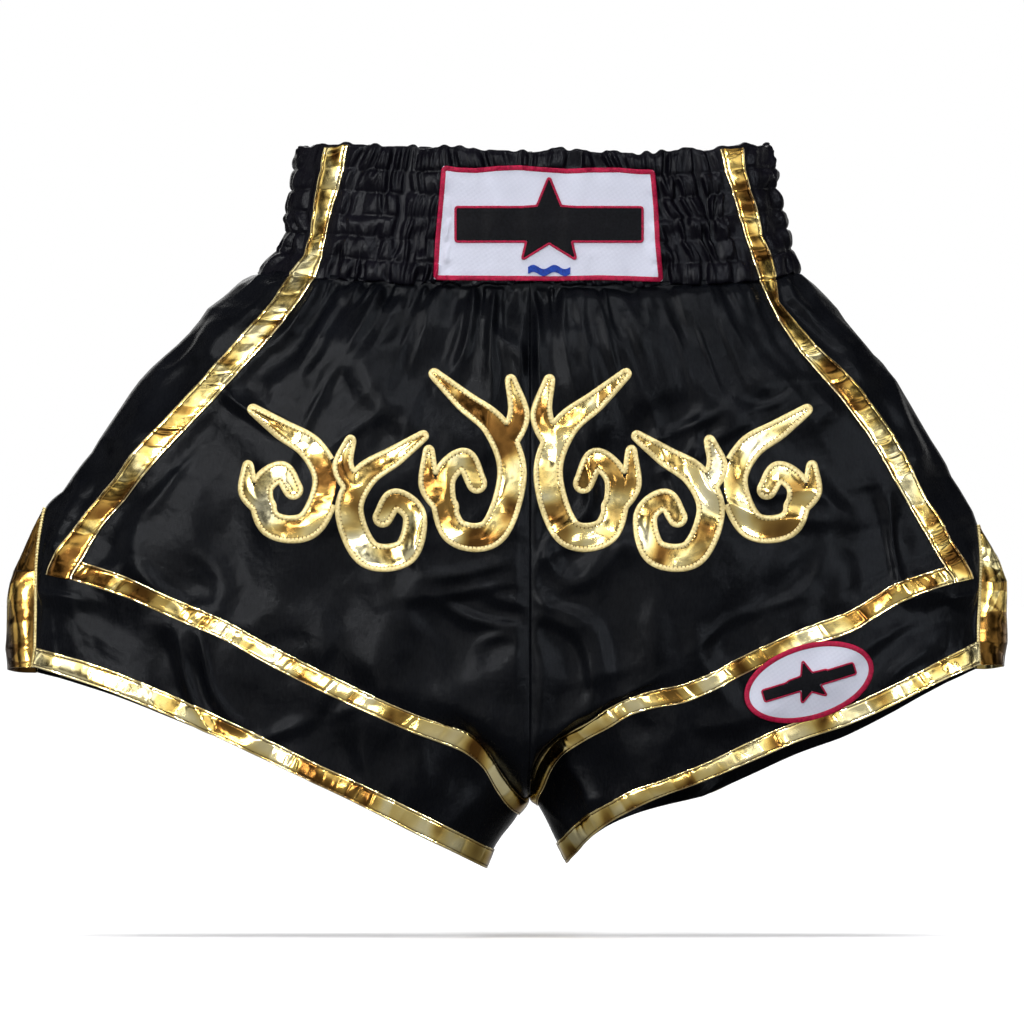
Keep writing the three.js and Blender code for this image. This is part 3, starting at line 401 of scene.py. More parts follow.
def bump(nt, b, height, strength, distance, prev=None):
    n = nt.nodes.new("ShaderNodeBump")
    n.inputs["Strength"].default_value = strength
    n.inputs["Distance"].default_value = distance
    nt.links.new(height, n.inputs["Height"])
    if prev is not None:
        nt.links.new(prev, n.inputs["Normal"])
    nt.links.new(n.outputs[0], b.inputs["Normal"])
    return n.outputs[0]


def weave(nt, pitch=0.00045, rot=0.0):
    """Fine over-and-under thread pattern, as a height."""
    co = coords(nt, (1, 1, 1), (0, rot, 0))
    sep = nt.nodes.new("ShaderNodeSeparateXYZ")
    nt.links.new(co, sep.inputs[0])
    def wave(o):
        m = node(nt, "ShaderNodeMath", operation="MULTIPLY"); m.inputs[1].default_value = 2 * math.pi / pitch
        nt.links.new(o, m.inputs[0])
        s = node(nt, "ShaderNodeMath", operation="SINE"); nt.links.new(m.outputs[0], s.inputs[0])
        return s.outputs[0]
    mul = node(nt, "ShaderNodeMath", operation="MULTIPLY")
    nt.links.new(wave(sep.outputs[0]), mul.inputs[0])
    nt.links.new(wave(sep.outputs[2]), mul.inputs[1])
    return mul.outputs[0]


def satin(name, dark, light, rough=(0.22, 0.34), tint=(0.6, 0.65, 0.8), spec=0.045, sheen=0.0):
    m, nt, b = material(name)
    co = coords(nt)
    n1 = noise_tex(nt, co, 34, 3, 0.55)
    c = ramp(nt, n1, [(0.3, dark), (0.7, light)])
    nt.links.new(c, b.inputs["Base Color"])
    # long thin threads catch the light in streaks
    streak = noise_tex(nt, coords(nt, (1, 1, 0.3)), 700, 3, 0.6)
    nt.links.new(value_ramp(nt, streak, rough[0], rough[1], 0.3, 0.7), b.inputs["Roughness"])
    b.inputs["Specular IOR Level"].default_value = spec
    b.inputs["Specular Tint"].default_value = (0.9, 0.94, 1.0, 1)
    b.inputs["Sheen Weight"].default_value = sheen
    b.inputs["Sheen Roughness"].default_value = 0.4
    b.inputs["Sheen Tint"].default_value = (*tint, 1)
    p = bump(nt, b, noise_tex(nt, co, 90, 2, 0.5, 0.3), 0.35, 0.0012)
    p = bump(nt, b, noise_tex(nt, co, 420, 3, 0.6), 0.3, 0.0003, p)
    p = bump(nt, b, weave(nt), 0.2, 0.00008, p)
    return m


def foil(name, seed=0.0, crumple=1.0, size=26.0, stops=None):
    m, nt, b = material(name)
    co = coords(nt)
    mv = node(nt, "ShaderNodeMapping")
    mv.inputs["Location"].default_value = (seed, seed * 2, seed * 3)
    nt.links.new(co, mv.inputs[0])
    # painted reflection: a broad noise, shifted by the per-facet attribute, runs through a ramp from dark brown to pale
    # gold and stands in for the bright and dark surroundings the foil reflects
    painted_reflection_fac = noise_tex(nt, mv.outputs[0], size, 1.2, 0.5, 0.9)
    fa = node(nt, "ShaderNodeAttribute", attribute_name="painted_facet_reflection")
    add = node(nt, "ShaderNodeMath", operation="ADD")
    nt.links.new(painted_reflection_fac, add.inputs[0])
    nt.links.new(fa.outputs["Fac"], add.inputs[1])
    painted_reflection_fac = add.outputs[0]
    c = ramp(nt, painted_reflection_fac, stops or [(0.34, (0.16, 0.075, 0.018)), (0.42, (0.42, 0.25, 0.065)), (0.5, (0.76, 0.56, 0.19)), (0.57, (0.92, 0.77, 0.35)), (0.68, (0.98, 0.91, 0.6))])
    # painted highlight: a pale colour is mixed in along the folded-over edges (edge attribute); painted shade: a
    # near-black colour is mixed in along the sunken stitch rows (groove attribute)
    ed = node(nt, "ShaderNodeAttribute", attribute_name="edge")
    mixe = nt.nodes.new("ShaderNodeMix")
    mixe.data_type = "RGBA"
    nt.links.new(ed.outputs["Fac"], mixe.inputs[0])
    nt.links.new(c, mixe.inputs[6])
    mixe.inputs[7].default_value = (0.8, 0.67, 0.38, 1)
    gr = node(nt, "ShaderNodeAttribute", attribute_name="groove")
    mixg = nt.nodes.new("ShaderNodeMix")
    mixg.data_type = "RGBA"
    nt.links.new(gr.outputs["Fac"], mixg.inputs[0])
    nt.links.new(mixe.outputs[2], mixg.inputs[6])
    mixg.inputs[7].default_value = (0.055, 0.028, 0.007, 1)
    nt.links.new(mixg.outputs[2], b.inputs["Base Color"])
    b.inputs["Metallic"].default_value = 1.0
    fine = noise_tex(nt, mv.outputs[0], 300, 3, 0.6)
    nt.links.new(value_ramp(nt, fine, 0.1, 0.22, 0.3, 0.7), b.inputs["Roughness"])
    p = bump(nt, b, noise_tex(nt, mv.outputs[0], 60, 1, 0.5, 0.5), 0.28 * crumple, 0.003)
    p = bump(nt, b, noise_tex(nt, mv.outputs[0], 240, 2, 0.5, 0.4), 0.12 * crumple, 0.0006, p)
    p = bump(nt, b, weave(nt, 0.0006), 0.08, 0.00005, p)
    return m


def thread(name, dark, light, rough=0.5, sheen=0.3, metallic=0.0, spec=0.5):
    m, nt, b = material(name)
    co = coords(nt)
    c = ramp(nt, noise_tex(nt, co, 700, 2, 0.6), [(0.3, dark), (0.7, light)])
    nt.links.new(c, b.inputs["Base Color"])
    b.inputs["Roughness"].default_value = rough
    b.inputs["Metallic"].default_value = metallic
    b.inputs["Specular IOR Level"].default_value = spec
    b.inputs["Sheen Weight"].default_value = sheen
    b.inputs["Sheen Roughness"].default_value = 0.3
    nt.links.new(value_ramp(nt, noise_tex(nt, co, 1500, 2, 0.6), rough - 0.12, rough + 0.15, 0.3, 0.7), b.inputs["Roughness"])
    bump(nt, b, noise_tex(nt, co, 2600, 2, 0.6), 0.3, 0.0002)
    return m


def woven(name, dark, light):
    m, nt, b = material(name)
    co = coords(nt)
    w = weave(nt, 0.0011, 0.6)
    # painted shade and light: the colour follows the weave height, darker in the low points between threads and lighter
    # on the raised ones
    c1 = ramp(nt, w, [(0.25, dark), (0.75, light)])
    nt.links.new(c1, b.inputs["Base Color"])
    nt.links.new(value_ramp(nt, noise_tex(nt, co, 500, 2, 0.6), 0.55, 0.8, 0.3, 0.7), b.inputs["Roughness"])
    b.inputs["Sheen Weight"].default_value = 0.2
    p = bump(nt, b, w, 0.5, 0.00025)
    bump(nt, b, noise_tex(nt, co, 150, 2, 0.5), 0.3, 0.0008, p)
    return m
# ------------------------------------------------------------------ finishes
SATIN = satin("black_satin", (0.0010, 0.0012, 0.0019), (0.0032, 0.0036, 0.0050))
BAND = satin("black_band", (0.0014, 0.0012, 0.0026), (0.0040, 0.0037, 0.0062), rough=(0.22, 0.34), tint=(0.66, 0.62, 0.8), spec=0.062)
LINING = satin("black_lining", (0.006, 0.006, 0.008), (0.013, 0.013, 0.016), rough=(0.5, 0.7))
# the colour stops of the three foils run from dark brown to pale gold: painted reflection, picked by the foil's noise
FOIL_TAPE = foil("gold_foil_tape", 0.0, 0.8, 30.0, [(0.34, (0.12, 0.055, 0.012)), (0.42, (0.36, 0.21, 0.048)), (0.5, (0.68, 0.48, 0.135)), (0.58, (0.86, 0.68, 0.26)), (0.7, (0.96, 0.85, 0.48))])
FOIL_APPLIQUE = foil("gold_foil_applique", 3.7, 0.9)
LAME = foil("gold_satin", 7.1, 0.9, 19.0, [(0.36, (0.09, 0.045, 0.01)), (0.47, (0.26, 0.16, 0.04)), (0.56, (0.56, 0.42, 0.13)), (0.68, (0.9, 0.78, 0.4))])
GOLD_THREAD = thread("gold_thread", (0.46, 0.34, 0.11), (0.80, 0.68, 0.33), 0.45, 0.25, 0.2)
TAPE_THREAD = thread("tape_thread", (0.035, 0.018, 0.005), (0.12, 0.07, 0.02), 0.6, 0.0, 0.0, 0.1)
BLACK_THREAD = thread("black_thread", (0.0012, 0.0014, 0.0024), (0.0045, 0.005, 0.007), 0.55, 0.0, 0.0, 0.04)
RED_THREAD = thread("red_thread", (0.20, 0.001, 0.02), (0.44, 0.004, 0.05), 0.55, 0.0, 0.0, 0.1)
BLUE_THREAD = thread("blue_thread", (0.002, 0.02, 0.19), (0.005, 0.05, 0.36), 0.55, 0.0, 0.0, 0.1)
WHITE_WEAVE = woven("white_weave", (0.50, 0.52, 0.63), (0.68, 0.70, 0.80))
WHITE_CORD = woven("white_cord", (0.55, 0.54, 0.5), (0.82, 0.81, 0.77))
ELASTIC = woven("white_elastic", (0.5, 0.5, 0.48), (0.75, 0.75, 0.72))
LABEL = woven("label_cloth", (0.7, 0.7, 0.68), (0.85, 0.85, 0.83))
TIP, _nt, _b = material("cord_tip")
_nt.links.new(ramp(_nt, noise_tex(_nt, coords(_nt), 300), [(0.3, (0.01, 0.01, 0.012)), (0.7, (0.03, 0.03, 0.033))]), _b.inputs["Base Color"])
_nt.links.new(value_ramp(_nt, noise_tex(_nt, coords(_nt), 500), 0.25, 0.4, 0.3, 0.7), _b.inputs["Roughness"])
bump(_nt, _b, noise_tex(_nt, coords(_nt), 900), 0.2, 0.0001)

SIDES = {"left": 1, "right": -1}
FACES = {"front": -1, "back": 1}

# ------------------------------------------------------------------ columns and rows
FINE = 1.0
n_run = int(200 * FINE)
COLS = np.r_[np.interp(np.linspace(0, 1, n_run), ALONG, np.arange(10)), np.linspace(9, 10, 9)[1:], np.linspace(10, 13, 17)[1:]]
ROWS_R = np.r_[[0.965, 0.985, 1.0]]
for k, m in zip(range(1, 9), [44, 34, 42, 54, 18, 12, 32, 12]):
    ROWS_R = np.r_[ROWS_R, np.linspace(k, k + 1, max(4, int(m * FINE)) + 1)[1:]]


def ring_grid(r, c):
    FR, FL = base_grid(-1, -1, c, r), base_grid(1, -1, c, r)
    BL, BR = base_grid(1, 1, c, r), base_grid(-1, 1, c, r)
    return np.concatenate([FR[:, ::-1], FL[:, 1:], BL[:, ::-1][:, 1:], BR[:, 1:-1]], axis=1)


def ring_normals(P, up=True):
    gc = np.roll(P, -1, 1) - np.roll(P, 1, 1)
    gr = np.gradient(P, axis=0)
    n = np.cross(gc, gr)
    n /= np.maximum(np.linalg.norm(n, axis=2, keepdims=True), 1e-9)
    return n


# ------------------------------------------------------------------ waistband
band_c = np.r_[np.interp(np.linspace(0, 1, int(225 * FINE)), ALONG, np.arange(10)), np.linspace(9, 10, 13)[1:], np.linspace(10, 13, 19)[1:]]
NB = len(band_c)
band_r = np.linspace(0, 1, 6 * (12 if FINE == 1 else 8) + 1)
RING = ring_grid(band_r, band_c)
RING_N = ring_normals(RING)
if (RING_N[10, 5] @ (RING[10, 5] - np.array([CX, 0, RING[10, 5, 2]]))) < 0:
    RING_N = -RING_N
arc = np.r_[0, np.cumsum(np.linalg.norm(np.diff(RING[30], axis=0), axis=1))]


def puff(r, arc, depth=1.7):
    """Gathered satin held down by stitch rows that wander: puffs between the rows, pleats across them."""
    a = arc[None, :]
    rr = r[:, None] + 0.010 * noise2(a / 17, r[:, None] * 7, 8) * np.sin(np.pi * np.clip(r[:, None], 0, 1)) ** 0.5
    v = np.clip(rr, 0, 0.9999) * 6
    t = v % 1.0
    ch = np.floor(v)
    dome = np.sin(np.pi * t) ** 0.6
    lean = 2.2 * noise2(a / 23, ch * 1.7, 5)
    u = a + lean * (t - 0.5) * 3 + 1.6 * noise2(a / 12, v * 0.8, 6)
    g1 = noise2(u / 5.6, v * 0.55, 1)
    g2 = noise2(u / 3.1, v * 0.9, 2)
    g3 = noise2(a / 12.0, v * 0.6, 3)
    pleat = 3.3 * (ridge(g1, 0.01) - 0.3) + 0.9 * (ridge(g2, 0.015) - 0.4)
    g = depth * (dome - 0.45) * (1 + 0.5 * g3) + pleat * (0.4 + 0.75 * dome * (1 + 0.5 * g3)) + 1.2 * g3 + 0.5
    return np.where(g < 0, 1.35 * np.tanh(g / 1.35), 4.2 * np.tanh(g / 4.2))


disp = puff(band_r, arc)


def under_tape(c, soft=0.12):
    """1 where the side tape is sewn down, falling to 0 beside it."""
    a_ = np.where(c < A_C, (A_C - c) / (soft * 3), 0) + np.where(c > B_C, (c - B_C) / (soft * 6), 0)
    return 1 - smooth(a_)


nq = len(band_c)
ring_c = np.concatenate([band_c[::-1], band_c[1:], band_c[::-1][1:], band_c[1:-1]])
flatter = under_tape(ring_c)[None]
chan = np.sin(np.pi * ((np.clip(band_r, 0, 0.9999) * 6) % 1.0))[:, None]
calm = 0.75 + 0.55 * chan + 0.35 * noise2(arc[None] / 14, band_r[:, None] * 5, 18)
disp = disp * (1 - flatter) + calm * flatter
# the patch holds the gathers under it flat
patch_in = smooth((65 - np.abs(RING[..., 0] - 25.5)) / 6) * smooth((RING[..., 2] - 361) / 4) * smooth((434 - RING[..., 2]) / 4) * (RING[..., 1] < 0)
disp = disp * (1 - 0.85 * patch_in) + 0.2 * patch_in
disp[-1] *= 0.4
BAND_P = RING + RING_N * disp[..., None]
ruffle = 1.5 * noise2(arc / 5.2, 0, 9) + 1.1 * noise2(arc / 15, 3, 9) - 0.5
fall = np.exp(-band_r * 80 / 9.0)[:, None]
BAND_P[:, :, 2] += ruffle[None] * fall
BAND_P[:, :, 2] += (1.3 * noise2(arc / 6.5, 0, 13) + 0.8 * noise2(arc / 20, 0, 14))[None] * np.exp(-(1 - band_r) * 80 / 6.0)[:, None]
path = [BAND_P[::-1]]
for r0, off, dz in [(0, 0.0, 0.9), (0, -1.0, 1.7), (0, -2.4, 1.9), (0, -3.7, 1.3), (0, -4.6, 0.2), (0.03, -5.0, 0.0), (0.06, -5.1, 0), (0.1, -5.0, 0)]:
    base = ring_grid(np.array([r0, r0 + 1e-3]), band_c)[0]
    g = base + RING_N[0] * (off + disp[0] * max(0, 1 + off / 3))[:, None]
    g[:, 2] += dz + ruffle * (1 if r0 == 0 else math.exp(-r0 * 80 / 9))
    path.append(g[None])
COVER = np.concatenate(path)
CN = ring_normals(COVER)
if (CN[20] * RING_N[10]).sum() < 0:
    CN = -CN
V, F = shell(COVER, CN, -0.45, 0.0, wrap=True)
put("waistband_cover_satin", V, F, [BAND], body="seat", nodes=["waistband_cover"], slot="black_band")

face_r = np.linspace(0.03, 0.995, 6 * 8 + 1)
FR_ = ring_grid(face_r, band_c[::2] if len(band_c) % 2 else band_c)
fc_c = band_c[::2] if len(band_c) % 2 else band_c
FN_ = ring_normals(FR_)
if (FN_[10, 5] @ (FR_[10, 5] - np.array([CX, 0, FR_[10, 5, 2]]))) < 0:
    FN_ = -FN_
arc_f = np.r_[0, np.cumsum(np.linalg.norm(np.diff(FR_[20], axis=0), axis=1))]
inner_off = -3.9 - 0.5 * (puff(face_r, arc_f, 1.0) - 0.4).clip(-0.6, 2)
V, F = shell(FR_, FN_, inner_off, -3.2 + 0 * inner_off, wrap=True)
put("waistband_facing_satin", V, F, [LINING], body="seat", nodes=["waistband_facing"], slot="black_band")

el_r = np.linspace(0.17, 0.955, 40)
EP = ring_grid(el_r, fc_c)
EN = ring_normals(EP)
if (EN[10, 5] @ (EP[10, 5] - np.array([CX, 0, EP[10, 5, 2]]))) < 0:
    EN = -EN
rib = 0.12 * np.sin(np.arange(40) * np.pi)[:, None] + 0.1 * np.sin(np.linspace(0, 60 * np.pi, 40))[:, None]
V, F = shell(EP, EN, -3.0 + 0 * EP[..., 0], -2.1 + rib + 0 * EP[..., 0], wrap=True)
put("waist_elastic_web", V, F, [ELASTIC], body="seat", nodes=["waist_elastic"], slot="white_elastic")

lp_r = np.linspace(0.06, 0.135, 6)
LPg = ring_grid(lp_r, fc_c)
LN = ring_normals(LPg)
if (LN[2, 5] @ (LPg[2, 5] - np.array([CX, 0, LPg[2, 5, 2]]))) < 0:
    LN = -LN
nf = len(fc_c)
front_x = LPg[0, :, 0]
order = np.roll(np.arange(LPg.shape[1]), -(nf - 1))  # start at centre front
keep = order[np.abs(LPg[0, order, 0] - CX) > 18] if False else order[int(nf * 0.16): -int(nf * 0.16)]
V, F = shell(LPg[:, keep], LN[:, keep], -3.0, -2.1)
put("drawcord_in_channel", V, F, [WHITE_CORD], body="seat", nodes=["drawcord_loop"], slot="white_cord")

BANDS = {}
for side, face, sl in [(-1, -1, slice(NB - 1, None, -1)), (1, -1, slice(NB - 1, 2 * NB - 1)), (1, 1, None), (-1, 1, None)]:
    n = BAND_P.shape[1]
    if (side, face) == (-1, -1):
        ids = np.arange(NB - 1, -1, -1)
    elif (side, face) == (1, -1):
        ids = np.arange(NB - 1, 2 * NB - 1)
    elif (side, face) == (1, 1):
        ids = np.arange(3 * NB - 3, 2 * NB - 3, -1)
    else:
        ids = np.arange(3 * NB - 3, 4 * NB - 3) % n
    BANDS[side, face] = Surface(BAND_P[:, ids], RING_N[:, ids], band_c, band_r)

# ------------------------------------------------------------------ panels
SHEETS = {}


def panel_disp(side, face, P, c, r):
    X = np.r_[0, np.cumsum(np.linalg.norm(np.diff(P[2], axis=0), axis=1))][None]  # along the band, mm
    s = np.r_[np.zeros((1, P.shape[1])), np.cumsum(np.linalg.norm(np.diff(P, axis=0), axis=2), axis=0)] - 3
    s = np.maximum(s, 0)
    across = np.r_[0, np.cumsum(np.linalg.norm(np.diff(P[len(r) // 2], axis=0), axis=1))][None]
    x, z = P[:, :, 0], P[:, :, 2]
    sd = 20 * (side + 2) + 7 * (face + 2)
    warp = 2.2 * noise2(X / 26, s / 50, sd + 1) + 5 * noise2(X / 60, s / 120, sd + 2) * smooth(s / 60)
    def fold(p, stretch, k):
        n = noise2((X + warp) / p, s / (p * stretch), sd + k)
        return ridge(n) - 0.3 if k % 2 else n
    loose = 0.8 + 0.6 * noise2(X / 45, 0, sd + 25)
    g = 0.9 * fold(3.6, 9, 4) * np.exp(-s / 12)
    g = g + 2.9 * fold(6.8, 7, 3) * np.exp(-s / 28) * smooth(s / 3 + 0.3)
    g = g + 6.2 * fold(13.5, 5, 5) * np.exp(-s / 58) * smooth(s / 10) * loose
    g = g + 8.5 * fold(27, 3.2, 8) * np.exp(-s / 95) * smooth(s / 22) * loose
    g = g + 3.0 * noise2(x / 44, z / 64, sd % 2 + 12) * smooth(s / 50)
    # slack drapes: long soft swells that wander across the seat and legs
    g = g + 3.4 * (ridge(noise2(x / 36 + 0.5 * z / 36 + 1.1 * noise2(x / 60, z / 60, 31), z / 80 - x / 110, sd + 17), 0.03) - 0.4) * smooth(s / 60)
    g = g + 2.2 * (ridge(noise2(z / 22 - 0.35 * x / 22 + 1.0 * noise2(x / 55, z / 55, 33), x / 60, sd + 19), 0.03) - 0.4) * smooth(s / 70) * smooth(noise2(x / 45, z / 45, 35) + 0.4)
    g = g + 0.8 * noise2(x / 13, z / 16, 16) * (0.4 + 0.6 * smooth(noise2(x / 60, z / 60, 36) + 0.5))
    # puckers where tapes are sewn on
    ra = r[:, None]
    near = np.exp(-np.abs(c[None] - A_C) * 2.2) * (c[None] < A_C) + np.exp(-np.abs(c[None] - B_C) * 1.2) * (c[None] > B_C)
    g = g + 0.55 * noise2(s / 5.5, c[None] * 0.8, sd + 20) * near
    rows = sum(np.exp(-np.abs(ra - k) * sc) for k, sc in ((6, 4), (7, 5), (8, 5)))
    g = g + 0.6 * noise2(across / 6.5, ra * 1.4, sd + 21) * rows * (ra > 5)
    g = g + 1.2 * noise2(across / 32, ra * 0.8, sd + 22) * smooth((ra - 6.6) / 1.5)
    # the stiff tapes hold the cloth flat where they are sewn down
    held = under_tape(c[None], 0.1) * (ra < R_ML + 0.2)
    rows_held = np.maximum(smooth(1 - np.abs(ra - (R_MU + R_ML) / 2) * 1.1), smooth(1 - np.abs(ra - (R_HU + R_HL) / 2) * 0.9))
    g = g * (1 - 0.72 * held) * (1 - 0.5 * rows_held)
    # calm at the centre seam and side seam; the seam itself is a shallow groove
    edge = np.abs(c[None] - F_C)
    wF = smooth(edge / 1.4)
    wC = smooth(X / 5.0) * 0.75 + 0.25
    broad = 1.5 * noise2(np.full_like(z, CX) / 55, z / 75, sd % 2 + 12) * smooth(s / 50)
    g = broad * (1 - smooth(X / 5.0)) + (g * wC * smooth(X / 5.0))
    g = g * wF - 0.9 * np.exp(-(X / 1.3) ** 2) - 0.5 * np.exp(-(edge / 0.25) ** 2)
    # tucked under the waistband at the top
    top = smooth(s / 3.0)
    g = g * top - 0.75 * (1 - top)
    flat_room = 6.5 * np.tanh(g / 6.5)
    return flat_room


for sname, side in SIDES.items():
    for fname, face in FACES.items():
        P = base_grid(side, face, COLS, ROWS_R)
        N = grid_normals(P, side, face, True, ROWS_R)
        out = np.array([side * 0.3, face * 1.0, 0])
        if (N[40, 40] @ out) < 0:
            N = -N
        d = panel_disp(side, face, P, COLS, ROWS_R)
        Q = P + N * d[..., None]
        M = grid_normals(Q, side, face, True, ROWS_R)
        if (M[40, 40] @ out) < 0:
            M = -M
        SHEETS[side, face] = Surface(Q, M, COLS, ROWS_R)
        V, F = shell(Q, N, -0.45, 0.0)
        put(f"{fname}_panel_{sname}_satin", V, F, [SATIN], side=side,
            nodes=[f"{fname}_panel_{sname}", f"{fname}_leg_panel_{sname}"], slot="black_satin")


def cloth_at(side, face, c, r):
    c, r = np.broadcast_arrays(np.asarray(c, float), np.asarray(r, float))
    p1, n1 = SHEETS[side, face].at(c, r)
    p0, n0 = BANDS[side, face].at(c, r)
    w = smooth((r - 0.985) / 0.035)[..., None]
    return p0 * (1 - w) + p1 * w, n0 * (1 - w) + n1 * w


# ------------------------------------------------------------------ stitches and tapes
def capsules(P, T, N, length, radius, name, mat, **kw):
    """Short threads lying on a surface at points P, along T, with normals N."""
    T = T / np.linalg.norm(T, axis=1, keepdims=True)
    B = np.cross(T, N)
    prof = [(-0.5, 0.0), (-0.42, 0.75), (-0.15, 1.0), (0.15, 1.0), (0.42, 0.75), (0.5, 0.0)]
    V, F = [], []
    m = 6
    ang = np.arange(m) * 2 * np.pi / m
    base = 0
    for (p, t, n, b) in zip(P, T, N, B):
        vs = [p + t * prof[0][0] * length]
        for a, q in prof[1:-1]:
            for w in ang:
                vs.append(p + t * a * length + (n * math.sin(w) * 0.75 + b * math.cos(w)) * radius * q)
        vs.append(p + t * prof[-1][0] * length)
        V += vs
        for k in range(m):
            F.append([base, base + 1 + (k + 1) % m, base + 1 + k])
        for ring in range(3):
            o = base + 1 + ring * m
            for k in range(m):
                F.append([o + k, o + (k + 1) % m, o + m + (k + 1) % m, o + m + k])
        last = base + 1 + 4 * m
        o = base + 1 + 3 * m
        for k in range(m):
            F.append([o + k, o + (k + 1) % m, last])
        base += 2 + 4 * m
    return put(name, np.array(V), F, [mat], **kw)


WPOS = np.array([0, 0.04, 0.075, 0.1, 0.125, 0.15, 0.18, 0.27, 0.38, 0.5, 0.62, 0.73, 0.82, 0.85, 0.875, 0.9, 0.925, 0.96, 1.0])
NW = len(WPOS)


def tape(name, side, face, c0, c1, r0, r1, along, nodes, seed):
    """Foil tape between two columns (along='r') or two rows (along='c'), with creases across it."""
    k_ = FINE if FINE < 1 else 1.0
    if along == "r":
        r = np.concatenate([np.linspace(max(r0, k), min(r1, k + 1), max(4, int(m * k_))) for k, m in zip(range(9), [110, 60, 60, 54, 62, 28, 20, 44, 16]) if k < r1 and k + 1 > r0])
        r = np.unique(np.round(r, 6))
        C, R = np.meshgrid(c0 + (c1 - c0) * WPOS, r)
    else:
        nl = int(400 * k_)
        cc = np.interp(np.linspace(0, 1, nl), ALONG, np.arange(10))
        cc = cc[cc < min(c1, 9) + 1e-6]
        cc[-1] = min(c1, 9)
        if c1 > 9:
            cc = np.r_[cc, np.linspace(9, c1, 8 if c1 < 10 else 40)[1:]]
        C, R = np.meshgrid(cc, r0 + (r1 - r0) * WPOS)
    P, N = cloth_at(side, face, C, R)
    if along == "r":
        L = np.r_[np.zeros((1, P.shape[1])), np.cumsum(np.linalg.norm(np.diff(P, axis=0), axis=2), axis=0)]
        W = np.broadcast_to(WPOS[None], L.shape)
    else:
        L = np.c_[np.zeros((P.shape[0], 1)), np.cumsum(np.linalg.norm(np.diff(P, axis=1), axis=2), axis=1)]
        W = np.broadcast_to(WPOS[:, None], L.shape)
    rng = np.random.RandomState(seed)
    total = float(L.max())
    cuts, q = [-5.0], 4.0
    while q < total + 12:
        cuts.append(q)
        q += rng.choice([4, 6, 9, 13, 21]) * (0.75 + 0.5 * rng.rand())
    cuts = np.array(cuts)
    slant = rng.uniform(-2.6, 2.6, len(cuts))
    hard = rng.uniform(0.12, 0.7, len(cuts)) * (rng.rand(len(cuts)) < 0.8)
    high = rng.uniform(-0.36, 0.36, len(cuts))
    tilt = rng.uniform(-0.75, 0.75, len(cuts))
    # painted reflection: each crease segment of the tape gets its own lighter or darker shift of the foil colour,
    # passed to the material as a per-facet attribute
    painted_facet_shift = rng.uniform(-0.10, 0.11, len(cuts))
    lift = np.zeros(L.shape)
    painted_facet_reflection = np.zeros(L.shape)
    Ls = L - (W - 0.5) * 2.2 * noise2(L / 25, 0, seed + 8)
    k = np.clip(np.searchsorted(cuts, Ls) - 1, 0, len(cuts) - 2)
    t = np.clip((Ls - cuts[k]) / (cuts[k + 1] - cuts[k]), 0, 1)
    lift += high[k] * (1 - t) + high[k + 1] * t
    blend = smooth(t * (cuts[k + 1] - cuts[k]) / 1.4)
    painted_facet_reflection += painted_facet_shift[k] * blend + np.where(k > 0, painted_facet_shift[np.maximum(k - 1, 0)], 0) * (1 - blend)
    lift += (W - 0.5) * (tilt[k] * blend + tilt[np.maximum(k - 1, 0)] * (1 - blend))
    for q, sl, h in zip(cuts[1:], slant[1:], hard[1:]):
        lift -= h * np.exp(-((L - q - sl * (W - 0.5)) / 0.85) ** 2) * (0.5 + 0.5 * np.sin(np.pi * W))
    mid = np.sin(np.pi * W)
    # the side tapes' painted reflection is darkened towards their lower end
    if name.startswith("side"):
        painted_facet_reflection = painted_facet_reflection - 0.10 * smooth((L / total - 0.72) / 0.2)
    crk = 0.14 * noise2(L / 6.0, W * 0.9, seed) + 0.16 * (ridge(noise2(L / 12.0 + 0.4 * W, W * 0.7, seed + 4), 0.01) - 0.4) + 0.07 * noise2(L / 2.6, W * 2, seed + 5)
    lift = 0.85 + (lift + crk) * (0.45 + 0.55 * mid) + 0.2 * mid
    row = np.exp(-((W - 0.125) / 0.028) ** 2) + np.exp(-((W - 0.875) / 0.028) ** 2)
    lift = lift - 0.26 * row
    if name.startswith("side"):
        lift = lift + 0.25
    lift = np.maximum(lift, 0.35)
    V, F = shell(P, N, 0.12 + 0 * lift, lift)
    # painted highlight along both edges of the tape and painted shade along the two sunken stitch rows, passed to the
    # foil material as attributes
    edge = smooth((np.abs(W - 0.5) - 0.425) / 0.05) * 0.8
    at = {"edge": np.tile(edge.ravel(), 2), "painted_facet_reflection": np.tile(painted_facet_reflection.ravel(), 2), "groove": np.tile((0.85 * np.minimum(row, 1)).ravel(), 2)}
    put(name + "_foil", V, F, [FOIL_TAPE], side=side, nodes=nodes, slot="gold_foil", attrs=at)
    top = P + N * lift[..., None]
    pts, tan, nor = [], [], []
    for w in (0.125, 0.875):
        a = int(np.argmin(np.abs(WPOS - w)))
        line = top[:, a] if along == "r" else top[a]
        nl_ = N[:, a] if along == "r" else N[a]
        s = np.r_[0, np.cumsum(np.linalg.norm(np.diff(line, axis=0), axis=1))]
        q = np.arange(1.5, s[-1] - 1, 2.7)
        p = np.stack([np.interp(q, s, line[:, j]) for j in range(3)], -1)
        p2 = np.stack([np.interp(q + 0.4, s, line[:, j]) for j in range(3)], -1)
        pts.append(p + 0.06 * np.stack([np.interp(q, s, nl_[:, j]) for j in range(3)], -1))
        tan.append(p2 - p)
        nor.append(np.stack([np.interp(q, s, nl_[:, j]) for j in range(3)], -1))
    capsules(np.vstack(pts), np.vstack(tan), np.vstack(nor), 1.9, 0.3, name + "_stitches", TAPE_THREAD, side=side)


